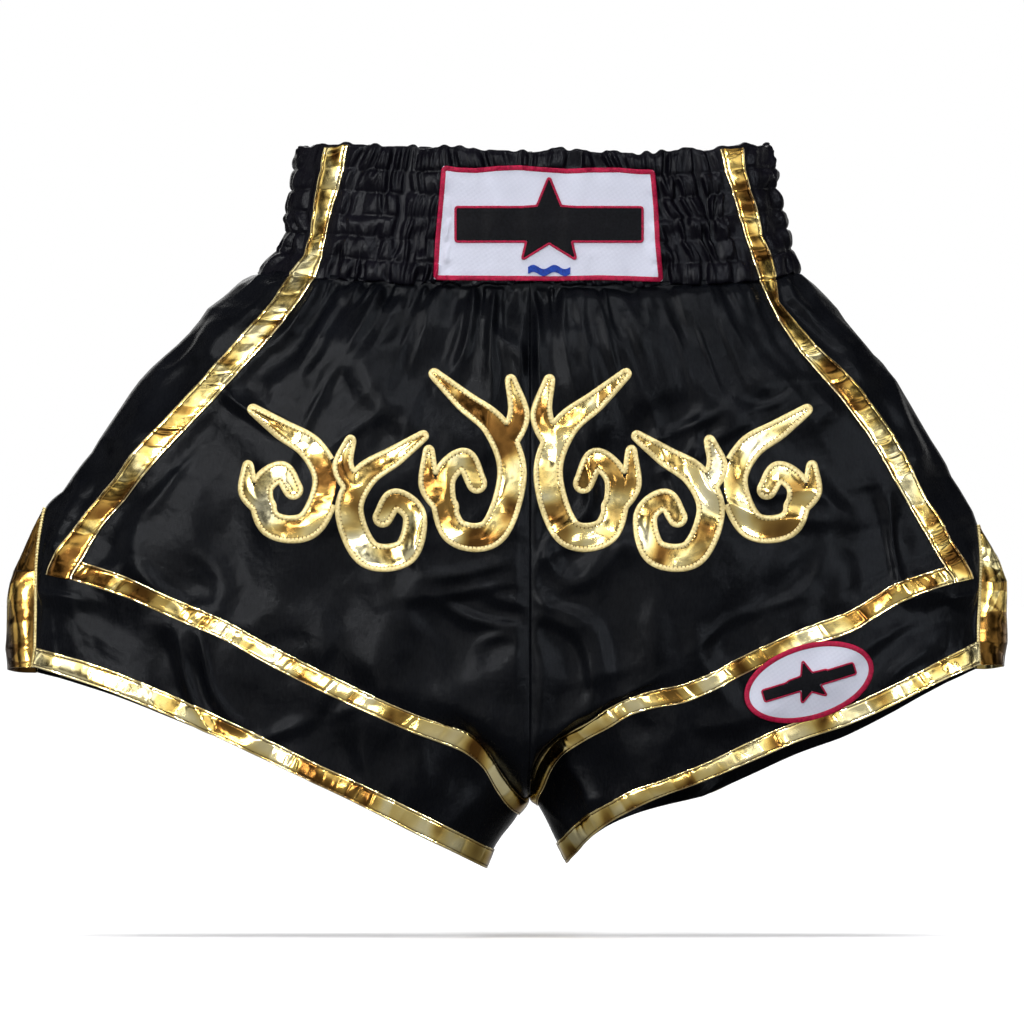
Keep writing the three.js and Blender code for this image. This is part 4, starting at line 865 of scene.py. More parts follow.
seed = 30
for sname, side in SIDES.items():
    for fname, face in FACES.items():
        seed += 6
        tape(f"side_tape_{fname}_{sname}", side, face, A_C, B_C, 0.004, R_ML, "r", [f"side_tape_{fname}_{sname}_upper", f"side_tape_{fname}_{sname}_lower"], seed)
        tape(f"mid_tape_{fname}_{sname}", side, face, 0.0, A_C - 0.01, R_MU, R_ML, "c", [f"mid_tape_{fname}_{sname}"], seed + 1)
        tape(f"hem_tape_{fname}_{sname}", side, face, 0.0, F_C - 0.16, R_HU, R_HL, "c", [f"hem_tape_{fname}_{sname}"], seed + 2)


# ------------------------------------------------------------------ side vents and their bindings
def tube(P, rad, m=8, squash_n=None):
    P = np.asarray(P, float)
    T = np.gradient(P, axis=0)
    T /= np.linalg.norm(T, axis=1, keepdims=True)
    ref = np.array([0, 1.0, 0])
    A = np.cross(T, ref)
    A /= np.maximum(np.linalg.norm(A, axis=1, keepdims=True), 1e-9)
    B = np.cross(T, A)
    rad = np.broadcast_to(rad, (len(P),))
    ang = np.arange(m) * 2 * np.pi / m
    V = (P[:, None] + rad[:, None, None] * (A[:, None] * np.cos(ang)[None, :, None] + B[:, None] * np.sin(ang)[None, :, None])).reshape(-1, 3)
    F = grid_faces(len(P), m, 0, False, True).tolist()
    F.append(list(range(m))[::-1])
    F.append([(len(P) - 1) * m + k for k in range(m)])
    c = V[np.array(F[:-2])]
    vol = (np.einsum("ij,ij->i", c[:, 0], np.cross(c[:, 1], c[:, 2])) + np.einsum("ij,ij->i", c[:, 0], np.cross(c[:, 2], c[:, 3]))).sum()
    if vol < 0:
        F = [f[::-1] for f in F]
    return V, F


# how far the vent stands out past the side seam, row by row
VENT_OUT = {-1: ([5, 6, 7, 7.35, 8, 9], [0, 10.5, 15.2, 18.8, 20.4, 17.6]), 1: ([5, 6, 7, 8, 9], [0, 12.6, 18.4, 19.8, 17.0])}

for sname, side in SIDES.items():
    r = np.linspace(R_CREASE + 0.06, R_HL, 150)
    f, _ = SHEETS[side, -1].at(F_C, r)
    b, _ = SHEETS[side, 1].at(F_C, r)
    kn = np.arange(10)
    half = pchip(kn, np.array(VENT, float), r)
    pr, pv = VENT_OUT[side]
    pf = np.interp(r, pr, pv) + 1.0
    pf = np.convolve(np.r_[np.full(3, pf[0]), pf, np.full(3, pf[-1])], np.ones(7) / 7, "valid")
    a = np.linspace(0, np.pi, 60)
    t = (1 - np.cos(a)) / 2
    G = f[:, None] * (1 - t)[None, :, None] + b[:, None] * t[None, :, None]
    G[:, :, 0] += side * pf[:, None] * np.sin(a)[None] ** 0.8
    n = np.cross(np.gradient(G, axis=0), np.gradient(G, axis=1))
    n /= np.maximum(np.linalg.norm(n, axis=2, keepdims=True), 1e-9)
    if n[70, 30, 0] * side < 0:
        n = -n
    zz = np.r_[0, np.cumsum(np.linalg.norm(np.diff(f, axis=0), axis=1))][:, None]
    ww = (a / np.pi * 46)[None]
    win = np.sin(a)[None] ** 0.5 * smooth((r - R_CREASE) / 1.0)[:, None]
    # crumpled foil: flat facets that meet in sharp creases
    dd, painted_facet_shift = np.zeros((len(r), len(a))), np.zeros((len(r), len(a)))
    rng = np.random.RandomState(91 + side)
    for ang, wave, amp in ((0.5, 25, 1.5), (1.25, 31, 1.3), (2.2, 19, 1.0), (2.75, 36, 1.4), (1.7, 13, 0.45)):
        q = (ww * np.cos(ang) + zz * np.sin(ang)) / wave + rng.rand() * 2 + 0.12 * noise2(ww / 20, zz / 20, 70 + side)
        tri = 2 * np.abs(q % 2 - 1) - 1
        dd += amp * tri
        painted_facet_shift += np.where(q % 2 < 1, 1, -1) * rng.uniform(0.02, 0.06)
    dd = (np.clip(dd, -2.6, 2.2) * (1 - 0.8 * np.exp(-((a[None] - np.pi / 2) / 0.42) ** 2)) + 0.12 * noise2(ww / 4, zz / 6, 77)) * win
    # painted reflection: alternate creased facets are painted lighter or darker, and the vent on side -1 (wearer's
    # right) is painted 0.2 darker, the other 0.05 lighter
    at = {"painted_facet_reflection": np.tile((painted_facet_shift - (0.2 if side < 0 else -0.05)).ravel(), 2)}
    V, F = shell(G + n * (dd - 1.2)[..., None], n, -0.45, 0.0)
    put(f"side_vent_{sname}_lame", V, F, [LAME], side=side, nodes=[f"side_vent_{sname}"], slot="gold_satin", attrs=at)
    for fname, face in FACES.items():
        rr = np.linspace(R_CREASE + 0.02, R_HL, 420)
        p, nn = SHEETS[side, face].at(F_C - 0.12, rr)
        run = np.r_[0, np.cumsum(np.linalg.norm(np.diff(p, axis=0), axis=1))]
        V, F = tube(p + nn * 0.5, 1.15 + 0.22 * np.sin(run * 2 * np.pi / 1.9) + 0.1 * noise2(run / 4.0, 0, 80), 10)
        put(f"vent_binding_{fname}_{sname}_braid", V, F, [GOLD_THREAD], side=side, nodes=[f"vent_binding_{fname}_{sname}"], slot="gold_satin")
# ------------------------------------------------------------------ height of the front cloth, for everything sewn on it
def bvh_of(surfaces):
    V, F, o = [], [], 0
    for s in surfaces:
        nr, nc = s.P.shape[:2]
        V.append(s.P.reshape(-1, 3))
        F += grid_faces(nr, nc, o).tolist()
        o += nr * nc
    return BVHTree.FromPolygons(np.vstack(V).tolist(), F)


class Height:
    """y of the front cloth over an x, z grid, smoothed a little because sewn-on pieces are stiff."""

    def __init__(self, surfaces, box, step, blur):
        x0, x1, z0, z1 = box
        self.x, self.z, self.step = np.arange(x0, x1, step), np.arange(z0, z1, step), step
        tree = bvh_of(surfaces)
        H = np.full((len(self.z), len(self.x)), np.nan)
        d = Vector((0, 1, 0))
        for j, z in enumerate(self.z):
            for i, x in enumerate(self.x):
                hit = tree.ray_cast(Vector((x, -200, z)), d)[0]
                if hit is not None:
                    H[j, i] = hit[1]
        bad = np.isnan(H)
        while bad.any():
            S, W = np.zeros_like(H), np.zeros_like(H)
            G = np.where(bad, 0, H)
            for dj, di in ((0, 1), (0, -1), (1, 0), (-1, 0)):
                S += np.roll(G, (dj, di), (0, 1))
                W += np.roll(~bad, (dj, di), (0, 1))
            fill = bad & (W > 0)
            if not fill.any():
                break
            H[fill] = S[fill] / W[fill]
            bad &= ~fill
        self.raw = H
        B = H.copy()
        for _ in range(blur):
            for ax in (0, 1):
                B = 0.25 * np.roll(B, 1, ax) + 0.5 * B + 0.25 * np.roll(B, -1, ax)
        self.soft = B

    def at(self, x, z, lift):
        def look(G):
            fx = np.clip((x - self.x[0]) / self.step, 0, len(self.x) - 1.001)
            fz = np.clip((z - self.z[0]) / self.step, 0, len(self.z) - 1.001)
            i, j = fx.astype(int), fz.astype(int)
            a, b = fx - i, fz - j
            return (G[j, i] * (1 - a) + G[j, i + 1] * a) * (1 - b) + (G[j + 1, i] * (1 - a) + G[j + 1, i + 1] * a) * b
        return np.minimum(look(self.soft) - lift, look(self.raw) - np.minimum(lift, 0.24 + 0.62 * lift))


def polygon_sd(pts, x, z):
    """Signed distance to a polygon, negative inside."""
    p = np.array(pts, float)
    q = np.roll(p, -1, 0)
    d = np.full(x.shape, 1e9)
    inside = np.zeros(x.shape, bool)
    for (ax, az), (bx, bz) in zip(p, q):
        ex, ez = bx - ax, bz - az
        t = np.clip(((x - ax) * ex + (z - az) * ez) / max(ex * ex + ez * ez, 1e-9), 0, 1)
        d = np.minimum(d, np.hypot(x - ax - t * ex, z - az - t * ez))
        cross = (az > z) != (bz > z)
        xi = ax + (z - az) * ex / np.where(ez == 0, 1e-9, ez)
        inside ^= cross & (x < xi)
    return np.where(inside, -d, d)


def catmull(pts, n):
    p = np.array(pts, float)
    d = np.r_[0, np.cumsum(np.hypot(*np.diff(p, axis=0).T) ** 0.5)]
    full = np.vstack([2 * p[0] - p[1], p, 2 * p[-1] - p[-2]])
    t = np.linspace(0, d[-1], n)
    k = np.clip(np.searchsorted(d, t, side="right") - 1, 0, len(p) - 2)
    s = ((t - d[k]) / (d[k + 1] - d[k]))[:, None]
    p0, p1, p2, p3 = full[k], full[k + 1], full[k + 2], full[k + 3]
    return 0.5 * (2 * p1 + (p2 - p0) * s + (2 * p0 - 5 * p1 + 4 * p2 - p3) * s ** 2 + (3 * p1 - p0 - 3 * p2 + p3) * s ** 3)


def stroke_sd(pts, w, x, z):
    c = catmull(pts, 150)
    ww = np.interp(np.linspace(0, 1, 150), np.linspace(0, 1, len(w)), w)
    best = np.full(x.shape, 1e9)
    for (cx, cz), r in zip(c, ww):
        best = np.minimum(best, np.hypot(x - cx, z - cz) - r)
    return best


def clip_grid(xs, zs, S, level):
    """Polygons of the region S < level, and the boundary as chains of points."""
    idx, verts, polys, segs = {}, [], [], []
    def vert(key, p):
        if key not in idx:
            idx[key] = len(verts)
            verts.append(p)
        return idx[key]
    nz, nx = S.shape
    T = S - level
    inside = T < 0
    any_in = inside[:-1, :-1] | inside[1:, :-1] | inside[:-1, 1:] | inside[1:, 1:]
    for j, i in zip(*np.nonzero(any_in)):
        c = [(j, i), (j, i + 1), (j + 1, i + 1), (j + 1, i)]
        poly, cuts = [], []
        for k in range(4):
            a, b = c[k], c[(k + 1) % 4]
            ta, tb = T[a], T[b]
            if ta < 0:
                poly.append(vert(("v", a), (xs[a[1]], zs[a[0]])))
            if (ta < 0) != (tb < 0):
                t = ta / (ta - tb)
                lo, hi = (a, b) if a < b else (b, a)
                v = vert(("e", lo, hi), (xs[a[1]] + t * (xs[b[1]] - xs[a[1]]), zs[a[0]] + t * (zs[b[0]] - zs[a[0]])))
                poly.append(v)
                cuts.append(v)
        if len(poly) >= 3:
            polys.append(poly)
        if len(cuts) == 2:
            segs.append(tuple(cuts))
        elif len(cuts) == 4:
            segs += [(cuts[0], cuts[1]), (cuts[2], cuts[3])]
    return np.array(verts), polys, segs


def chains(segs):
    nxt = {}
    for a, b in segs:
        nxt.setdefault(a, []).append(b)
        nxt.setdefault(b, []).append(a)
    used, out = set(), []
    for s in list(nxt):
        if s in used:
            continue
        chain, cur, prev = [s], s, None
        used.add(s)
        while True:
            step = [q for q in nxt[cur] if q != prev and q not in used]
            if not step:
                break
            prev, cur = cur, step[0]
            used.add(cur)
            chain.append(cur)
        out.append((chain, len(chain) > 2 and chain[0] in nxt[chain[-1]]))
    return out


def sheet_from(verts, polys, y_top, y_bot):
    """Closes a flat region into a thin piece between two heights."""
    n = len(verts)
    V = np.vstack([np.c_[verts[:, 0], y_top, verts[:, 1]], np.c_[verts[:, 0], y_bot, verts[:, 1]]])
    F = [list(p) for p in polys] + [[q + n for q in p[::-1]] for p in polys]
    count = {}
    for p in polys:
        for a, b in zip(p, p[1:] + p[:1]):
            count[(a, b)] = count.get((a, b), 0) + 1
    for (a, b) in count:
        if (b, a) not in count:
            F.append([b, a, a + n, b + n])
    return V, F


def resample(p, closed, pitch, smooth_n=2):
    p = np.asarray(p, float)
    if closed:
        p = np.vstack([p, p[:1]])
    d = np.r_[0, np.cumsum(np.hypot(*np.diff(p, axis=0).T))]
    n = max(4, int(round(d[-1] / pitch)))
    t = np.linspace(0, d[-1], n, endpoint=not closed)
    q = np.stack([np.interp(t, d, p[:, 0]), np.interp(t, d, p[:, 1])], -1)
    for _ in range(smooth_n):
        if closed:
            q = 0.25 * np.roll(q, 1, 0) + 0.5 * q + 0.25 * np.roll(q, -1, 0)
        else:
            q[1:-1] = 0.25 * q[:-2] + 0.5 * q[1:-1] + 0.25 * q[2:]
    return q


def rope(line, closed, half, height, H, base=0.25, rib=0.16, jitter=0):
    """Satin-stitched rim along a line on the front cloth: one cross-section per half thread."""
    n = len(line)
    T = (np.roll(line, -1, 0) - np.roll(line, 1, 0)) if closed else np.gradient(line, axis=0)
    T /= np.maximum(np.hypot(*T.T)[:, None], 1e-9)
    S = np.c_[-T[:, 1], T[:, 0]]
    w = np.array([-1, -0.8, -0.45, 0, 0.45, 0.8, 1.0])
    prof = np.array([0.0, 0.62, 0.93, 1.0, 0.93, 0.62, 0.0])
    alt = np.where(np.arange(n) % 2, 1.0, -1.0) * rib
    if jitter:
        alt = alt * (1 + jitter * noise2(np.arange(n) / 3.0, 0, 91))
    pts = line[:, None] + S[:, None] * (w[None, :, None] * (half + 0.25 * alt[:, None, None]))
    lift = base + (height + alt[:, None]) * prof[None]
    y = H.at(pts[..., 0], pts[..., 1], lift)
    yb = H.at(pts[:, [0, 6], 0], pts[:, [0, 6], 1], np.full((n, 2), 0.03))
    top = np.dstack([pts[..., 0], y, pts[..., 1]])
    bot = np.stack([np.c_[pts[:, 6, 0], yb[:, 1], pts[:, 6, 1]], np.c_[pts[:, 0, 0], yb[:, 0], pts[:, 0, 1]]], 1)
    R = np.concatenate([top, bot], axis=1)  # n, 9, 3
    m = R.shape[1]
    V = R.reshape(-1, 3)
    F = []
    last = n if closed else n - 1
    i = np.arange(last)
    for k in range(m):
        k2 = (k + 1) % m
        F.append(np.stack([i * m + k, i * m + k2, ((i + 1) % n) * m + k2, ((i + 1) % n) * m + k], -1))
    F = np.vstack(F).tolist()
    if not closed:
        F.append(list(range(m))[::-1])
        F.append([(n - 1) * m + k for k in range(m)])
    return V, F


def ticks(line, closed, inward, H, lift, gap=2.4, length=1.5, radius=0.3):
    """Short dark stitches standing across the inner edge of a rim."""
    d = np.r_[0, np.cumsum(np.hypot(*np.diff(line, axis=0).T))]
    q = np.arange(gap / 2, d[-1], gap)
    p = np.stack([np.interp(q, d, line[:, 0]), np.interp(q, d, line[:, 1])], -1)
    t = np.stack([np.interp(q + 0.3, d, line[:, 0]), np.interp(q + 0.3, d, line[:, 1])], -1) - np.stack([np.interp(q - 0.3, d, line[:, 0]), np.interp(q - 0.3, d, line[:, 1])], -1)
    t /= np.maximum(np.hypot(*t.T)[:, None], 1e-9)
    s = np.c_[-t[:, 1], t[:, 0]] * inward
    V, F, m = [], [], 5
    ring = np.arange(m) * 2 * np.pi / m
    prof = [(-0.5, 0.35), (-0.35, 1.0), (0.35, 1.0), (0.5, 0.35)]
    for (c, tt, ss) in zip(p, t, s):
        base = len(V)
        for a, rr in prof:
            e = c + ss * (a * length)
            y = float(H.at(np.array([e[0]]), np.array([e[1]]), np.array([lift]))[0])
            for w in ring:
                V.append((e[0] + tt[0] * math.cos(w) * radius * rr, y - math.sin(w) * radius * 0.7 * rr, e[1] + tt[1] * math.cos(w) * radius * rr))
        F.append([base + k for k in range(m)][::-1])
        for r_ in range(3):
            o = base + r_ * m
            for k in range(m):
                F.append([o + k, o + (k + 1) % m, o + m + (k + 1) % m, o + m + k])
        F.append([base + 3 * m + k for k in range(m)])
    return (np.array(V), F) if V else None


def orient(V, F):
    vol = 0.0
    V = np.asarray(V)
    for f in F:
        a = V[f[0]]
        for k in range(1, len(f) - 1):
            vol += a @ np.cross(V[f[k]], V[f[k + 1]])
    return [f[::-1] for f in F] if vol < 0 else F


def join(parts):
    V, F, o = [], [], 0
    for v, f in parts:
        f = orient(v, f)
        V.append(v)
        F += [[q + o for q in g] for g in f]
        o += len(v)
    return np.vstack(V), F


HB = Height([SHEETS[-1, -1], SHEETS[1, -1]], (-200, 215, 150, 345), 1.5, 5)

FLAME = dict(
    sweep=[[0.66, 1.05], [0.2, 0.74], [-0.3, 0.42], [-0.54, -0.12], [-0.24, -0.78], [0.36, -0.76], [0.52, -0.2], [0.2, 0.06], [0, -0.22]],
    sweepW=[0.012, 0.085, 0.128, 0.148, 0.152, 0.14, 0.115, 0.1, 0.08],
    A=[[-0.42, 0.22], [-0.64, 0.56], [-0.52, 0.98]], B=[[0.46, -0.5], [0.72, -0.24], [0.74, 0.16]], W=[0.11, 0.095, 0.012])
MOTIFS = [["d", 46, 250, 40, 1, 1.62, "AB"], ["c", -19.4, 250, 40, -1, 1.62, "AB"], ["e", 104, 226, 38, -1, 1.27, "A"],
          ["b", -77.4, 226, 38, 1, 1.27, "A"], ["f", 159, 243, 38, 1, 1.25, "B"], ["a", -132.4, 243, 38, -1, 1.25, "B"]]


def flame_sd(m, x, z):
    _, cx, cz, size, mir, tall, tongues = m
    put_ = lambda pts: [[cx + a * size * mir, cz + b * size * tall * 0.82] for a, b in pts]
    s = stroke_sd(put_(FLAME["sweep"]), [v * size for v in FLAME["sweepW"]], x, z)
    for t in tongues:
        s = np.minimum(s, stroke_sd(put_(FLAME[t]), [v * size for v in FLAME["W"]], x, z))
    return s


def sewn(name_foil, name_rim, sd, box, H, foil_mat, rim_mat, body, side, nodes_foil, nodes_rim, slots, step=0.9,
         rim=(1.5, 1.7, 0.7), pitch=0.5, foil_level=0.3, foil_lift=(0.45, 0.3), cut=None, foil_noise=0.4, foil_seed=0, rim_base=0.35, tick_mat=None):
    """A flat shape sewn on the front: face piece inside, satin-stitched rim on its edge. sd(x, z) is its signed distance."""
    xs, zs = np.arange(box[0], box[1], step), np.arange(box[2], box[3], step)
    X, Z = np.meshgrid(xs, zs)
    S = sd(X, Z)
    if cut is not None:
        S = np.maximum(S, 3.3 - cut(X, Z))
    V2, polys, _ = clip_grid(xs, zs, S, foil_level)
    sv = sd(V2[:, 0], V2[:, 1])
    if cut is not None:
        sv = np.maximum(sv, 3.3 - cut(V2[:, 0], V2[:, 1]))
    x, z = V2.T
    n = foil_noise * (noise2(x / 9.0, z / 11.0, 40 + foil_seed) + 0.5 * (ridge(noise2(x / 13, z / 9, 43 + foil_seed), 0.01) - 0.4))
    lift = foil_lift[0] + foil_lift[1] * (1 - np.exp(np.minimum(sv, 0) / 2.5)) + n * (1 - np.exp(np.minimum(sv, 0) / 2.0))
    V, F = sheet_from(V2, polys, H.at(x, z, lift), H.at(x, z, 0.05 + 0 * x))
    o1 = put(name_foil, V, orient(V, F), [foil_mat], body=body, side=side, nodes=nodes_foil, slot=slots[0])
    parts = []
    S0 = sd(X, Z)
    V2, _, segs = clip_grid(xs, zs, S0, rim[0])
    for chain, closed in chains(segs):
        if len(chain) < 8:
            continue
        line = resample(V2[chain], closed, pitch, 3)
        if cut is not None:
            ok = cut(line[:, 0], line[:, 1]) > 3.2 + rim[1] * 0.5
            if not ok.all():
                if closed:
                    k = int(np.argmin(ok))
                    line, ok = np.roll(line, -k, 0), np.roll(ok, -k)
                runs, start = [], None
                for q in range(len(ok) + 1):
                    if q < len(ok) and ok[q]:
                        start = q if start is None else start
                    elif start is not None:
                        runs.append((start, q))
                        start = None
                for a, b in runs:
                    if b - a > 10:
                        parts.append(rope(line[a:b], False, rim[1], rim[2], H, base=rim_base))
                continue
        parts.append(rope(line, closed, rim[1], rim[2], H, base=rim_base))
    V, F = join(parts)
    o2 = put(name_rim, V, F, [rim_mat], body=body, side=side, nodes=nodes_rim, slot=slots[1])
    if tick_mat is not None:
        Vt, Ft, off = [], [], 0
        V2, _, segs = clip_grid(xs, zs, S0, rim[0] - rim[1] + 0.35)
        for chain, closed in chains(segs):
            if len(chain) < 8:
                continue
            line = resample(V2[chain], closed, 0.8, 3)
            if closed:
                line = np.vstack([line, line[:1]])
            got = ticks(line, closed, 1, H, rim_base + rim[2] * 0.8)
            if got is None:
                continue
            v, f = got
            if cut is not None:
                ok = cut(v[:, 0], v[:, 2]).reshape(-1, 20).min(1) > 3.6
                keep = np.nonzero(ok)[0]
                f6 = [f[k * 17:(k + 1) * 17] for k in range(len(ok))]
                v = v.reshape(-1, 20, 3)[keep].reshape(-1, 3)
                f = [[q - k * 20 + n * 20 for q in g] for n, k in enumerate(keep) for g in f6[k]]
            if len(v):
                Vt.append(v)
                Ft += [[q + off for q in g] for g in f]
                off += len(v)
        if Vt:
            put(name_rim + "es_dark", np.vstack(Vt), orient(np.vstack(Vt), Ft), [tick_mat], body=body, side=side, slot=slots[1])
    return o1, o2


done = []
for k, m in enumerate(MOTIFS):
    _, cx, cz, size, mir, tall, _t = m
    w, h = size * 0.95, size * tall * 0.82 * 1.25
    prev = list(done)
    cut = (lambda x, z, prev=prev: np.minimum.reduce([flame_sd(q, x, z) for q in prev])) if prev else None
    sewn(f"flame_foil_{m[0]}_applique", f"flame_edging_{m[0]}_stitch", lambda x, z, m=m: flame_sd(m, x, z), (cx - w, cx + w, cz - h, cz + h), HB,
         FOIL_APPLIQUE, GOLD_THREAD, "seat", None, [f"flame_foil_{m[0]}"], [f"flame_edging_{m[0]}"], ["gold_foil", "gold_thread"], cut=cut, foil_seed=k, tick_mat=TAPE_THREAD,
         step=0.9 if FINE == 1 else 1.3, pitch=0.55 if FINE == 1 else 0.8)
    done.append(m)

# ------------------------------------------------------------------ woven patch on the waistband
HW = Height([BANDS[-1, -1], BANDS[1, -1]], (-60, 110, 352, 446), 1.0, 12)
gx, gz = np.meshgrid(HW.x, HW.z)
wave_out = 0.55 * (1 + np.tanh(1.5 * noise2(gx / 12, gz / 46, 60))) + 0.35 * (1 + np.tanh(1.5 * noise2(gx / 26, gz / 17, 61)))  # the patch is stiff, so it buckles in soft waves
HW.soft -= wave_out
HW.raw -= wave_out
corners = [(-41.2, 434.6), (-31, 433.0), (-20, 432.6), (-8, 433.8), (6, 434.4), (20, 433.2), (36, 432.2), (52, 432.9), (68, 433.0), (80, 431.9), (90.2, 431.9),
           (92.2, 410), (93.4, 386), (95.6, 362.4), (75, 363.2), (55, 363.6), (30, 363.0), (10, 363.2), (-20, 363.4), (-46.4, 363.6), (-45.2, 388), (-43.0, 412)]
sewn("waist_patch_weave", "waist_patch_edging_stitch", lambda x, z: polygon_sd(corners, x, z), (-52, 101, 357, 441), HW, WHITE_WEAVE, RED_THREAD, "seat", None,
     ["waist_patch_ground"], ["waist_patch_edging"], ["white_weave", "red_thread"], rim=(-1.5, 1.5, 0.55), pitch=0.5, foil_level=-0.4, foil_lift=(0.9, 0.1), foil_noise=0.05, step=1.1, rim_base=0.95)


def star_pts(cx, cz, R, r, n=5, rot=0.0):
    return [(cx + (r if k % 2 else R) * math.cos(math.pi / 2 + rot + k * math.pi / n), cz + (r if k % 2 else R) * math.sin(math.pi / 2 + rot + k * math.pi / n)) for k in range(2 * n)]


def emblem_sd(x, z):
    s = polygon_sd(star_pts(25, 399, 27, 12), x, z)
    for a, b in ((-32, 82),):
        s = np.minimum(s, polygon_sd([(a, 408), (b, 408), (b, 388), (a, 388)], x, z))
    return s


def raised(name, sd, box, H, mat, body, side, nodes, slot_, lift, step=0.8, level=0.0):
    xs, zs = np.arange(box[0], box[1], step), np.arange(box[2], box[3], step)
    X, Z = np.meshgrid(xs, zs)
    V2, polys, segs = clip_grid(xs, zs, sd(X, Z), level)
    x, z = V2.T
    rib = 0.07 * np.sin(x * 2 * np.pi / 1.6)
    V, F = sheet_from(V2, polys, H.at(x, z, lift + rib), H.at(x, z, 0.05 + 0 * x))
    return put(name, V, orient(V, F), [mat], body=body, side=side, nodes=nodes, slot=slot_)


def outline(name, sd, box, H, mat, body, side, lift, level=0.6, half=0.8, height=0.35, step=0.8, pitch=0.5):
    xs, zs = np.arange(box[0], box[1], step), np.arange(box[2], box[3], step)
    X, Z = np.meshgrid(xs, zs)
    V2, _, segs = clip_grid(xs, zs, sd(X, Z), level)
    parts = [rope(resample(V2[c], cl, pitch, 2), cl, half, height, H, base=lift) for c, cl in chains(segs) if len(c) > 8]
    V, F = join(parts)
    return put(name, V, F, [mat], body=body, side=side, slot="red_thread")


raised("waist_patch_star_stitch", emblem_sd, (-40, 90, 368, 430), HW, BLACK_THREAD, "seat", None, ["waist_patch_star"], "black_thread", 2.0)
outline("waist_patch_star_outline", emblem_sd, (-40, 90, 368, 430), HW, RED_THREAD, "seat", None, 1.7)
wave = lambda x, z: np.maximum(np.abs(z - 369.5 - 1.3 * np.sin((x - 25) / 26 * 4 * np.pi)) - 2.2, np.abs(x - 25) - 13)
raised("waist_patch_wave_stitch", wave, (8, 42, 362, 377), HW, BLUE_THREAD, "seat", None, ["waist_patch_wave"], "blue_thread", 1.9, step=0.6)

# ------------------------------------------------------------------ oval patch on the wearer's left leg
HL = Height([SHEETS[1, -1]], (135, 236, 80, 152), 1.0, 6)
TILT = math.radians(17)


def turn(x, z):
    dx, dz = x - 185.1, z - 115.9
    return dx * math.cos(TILT) + dz * math.sin(TILT), -dx * math.sin(TILT) + dz * math.cos(TILT)


def oval_sd(x, z):
    u, v = turn(x, z)
    k = np.hypot(u / 41, v / 23)
    g = np.hypot(u / 41 ** 2, v / 23 ** 2)
    return np.where(k < 1e-6, -23, k * (k - 1) / np.maximum(g, 1e-9))


def local(fn):
    return lambda x, z: fn(*turn(x, z))


sewn("leg_patch_weave", "leg_patch_edging_stitch", oval_sd, (138, 232, 84, 148), HL, WHITE_WEAVE, RED_THREAD, None, 1,
     ["leg_patch_ground"], ["leg_patch_edging"], ["white_weave", "red_thread"], rim=(-1.4, 1.6, 0.55), pitch=0.5, foil_level=-0.4, foil_lift=(1.35, 0.1), foil_noise=0.04, step=1.0, rim_base=1.4)
leg_star = local(lambda u, v: np.minimum(polygon_sd(star_pts(0, 0, 13, 5.6), u, v), polygon_sd([(-29, 3.2), (29, 3.2), (29, -3.2), (-29, -3.2)], u, v)))
raised("leg_patch_star_stitch", leg_star, (150, 220, 92, 140), HL, BLACK_THREAD, None, 1, ["leg_patch_star"], "black_thread", 2.3)
outline("leg_patch_star_outline", leg_star, (150, 220, 92, 140), HL, RED_THREAD, None, 1, 2.0, level=0.5, half=0.55)

# ------------------------------------------------------------------ drawcord ends, tips, label
for sname, s in SIDES.items():
    x = CX + s * 20
    z = np.linspace(437, 319, 150)
    y = -43 - 3.2 * smooth((z - 428) / 9)
    a = np.linspace(0, 2 * np.pi, 17)[:-1]
    ph = np.arange(150) / 2.4
    V = []
    for k in range(150):
        br = 1 + 0.07 * np.sin(3 * a + ph[k] * 2.4) * np.cos(2 * a - ph[k] * 2.4)
        V += [(x + 2.9 * math.copysign(abs(math.cos(t)) ** 0.6, math.cos(t)) * b_, y[k] + 0.8 * math.copysign(abs(math.sin(t)) ** 0.8, math.sin(t)) * b_, z[k]) for t, b_ in zip(a, br)]
    V = np.array(V)
    F = grid_faces(150, 16, 0, False, True).tolist() + [list(range(16))[::-1], [149 * 16 + q for q in range(16)]]
    o = mesh_object(f"drawcord_end_{sname}_braid", to_world(V), orient(V, F), [WHITE_CORD])
    body = "cord_end_" + sname
    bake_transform(o)
    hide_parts("drawcord_end_" + sname)
    prof = [(0.0, 0), (2.3, 0), (2.9, -0.5), (3.1, -1.5), (2.7, -2.4), (3.3, -3.4), (3.5, -6), (3.5, -10), (3.2, -12.4), (2.2, -13.6), (0.0, -14)]
    m_ = 28
    V, F = [(x, -43, 319.3)], []
    for (q, dz) in prof[1:-1]:
        V += [(x + q * math.cos(w), -43 + q * math.sin(w), 319.3 + dz) for w in np.arange(m_) * 2 * math.pi / m_]
    V.append((x, -43, 319.3 - 14))
    for q in range(m_):
        F.append([0, 1 + q, 1 + (q + 1) % m_])
    F += grid_faces(len(prof) - 2, m_, 1, False, True).tolist()
    e = len(V) - 1
    for q in range(m_):
        F.append([e, e - m_ + (q + 1) % m_, e - m_ + q])
    V = np.array(V)
    put(f"drawcord_tip_{sname}_moulded", V, orient(V, F), [TIP], body=body, nodes=["drawcord_tip_" + sname], slot="cord_tip")

g = np.meshgrid(np.linspace(-21, 21, 60), np.linspace(13, -13, 40))
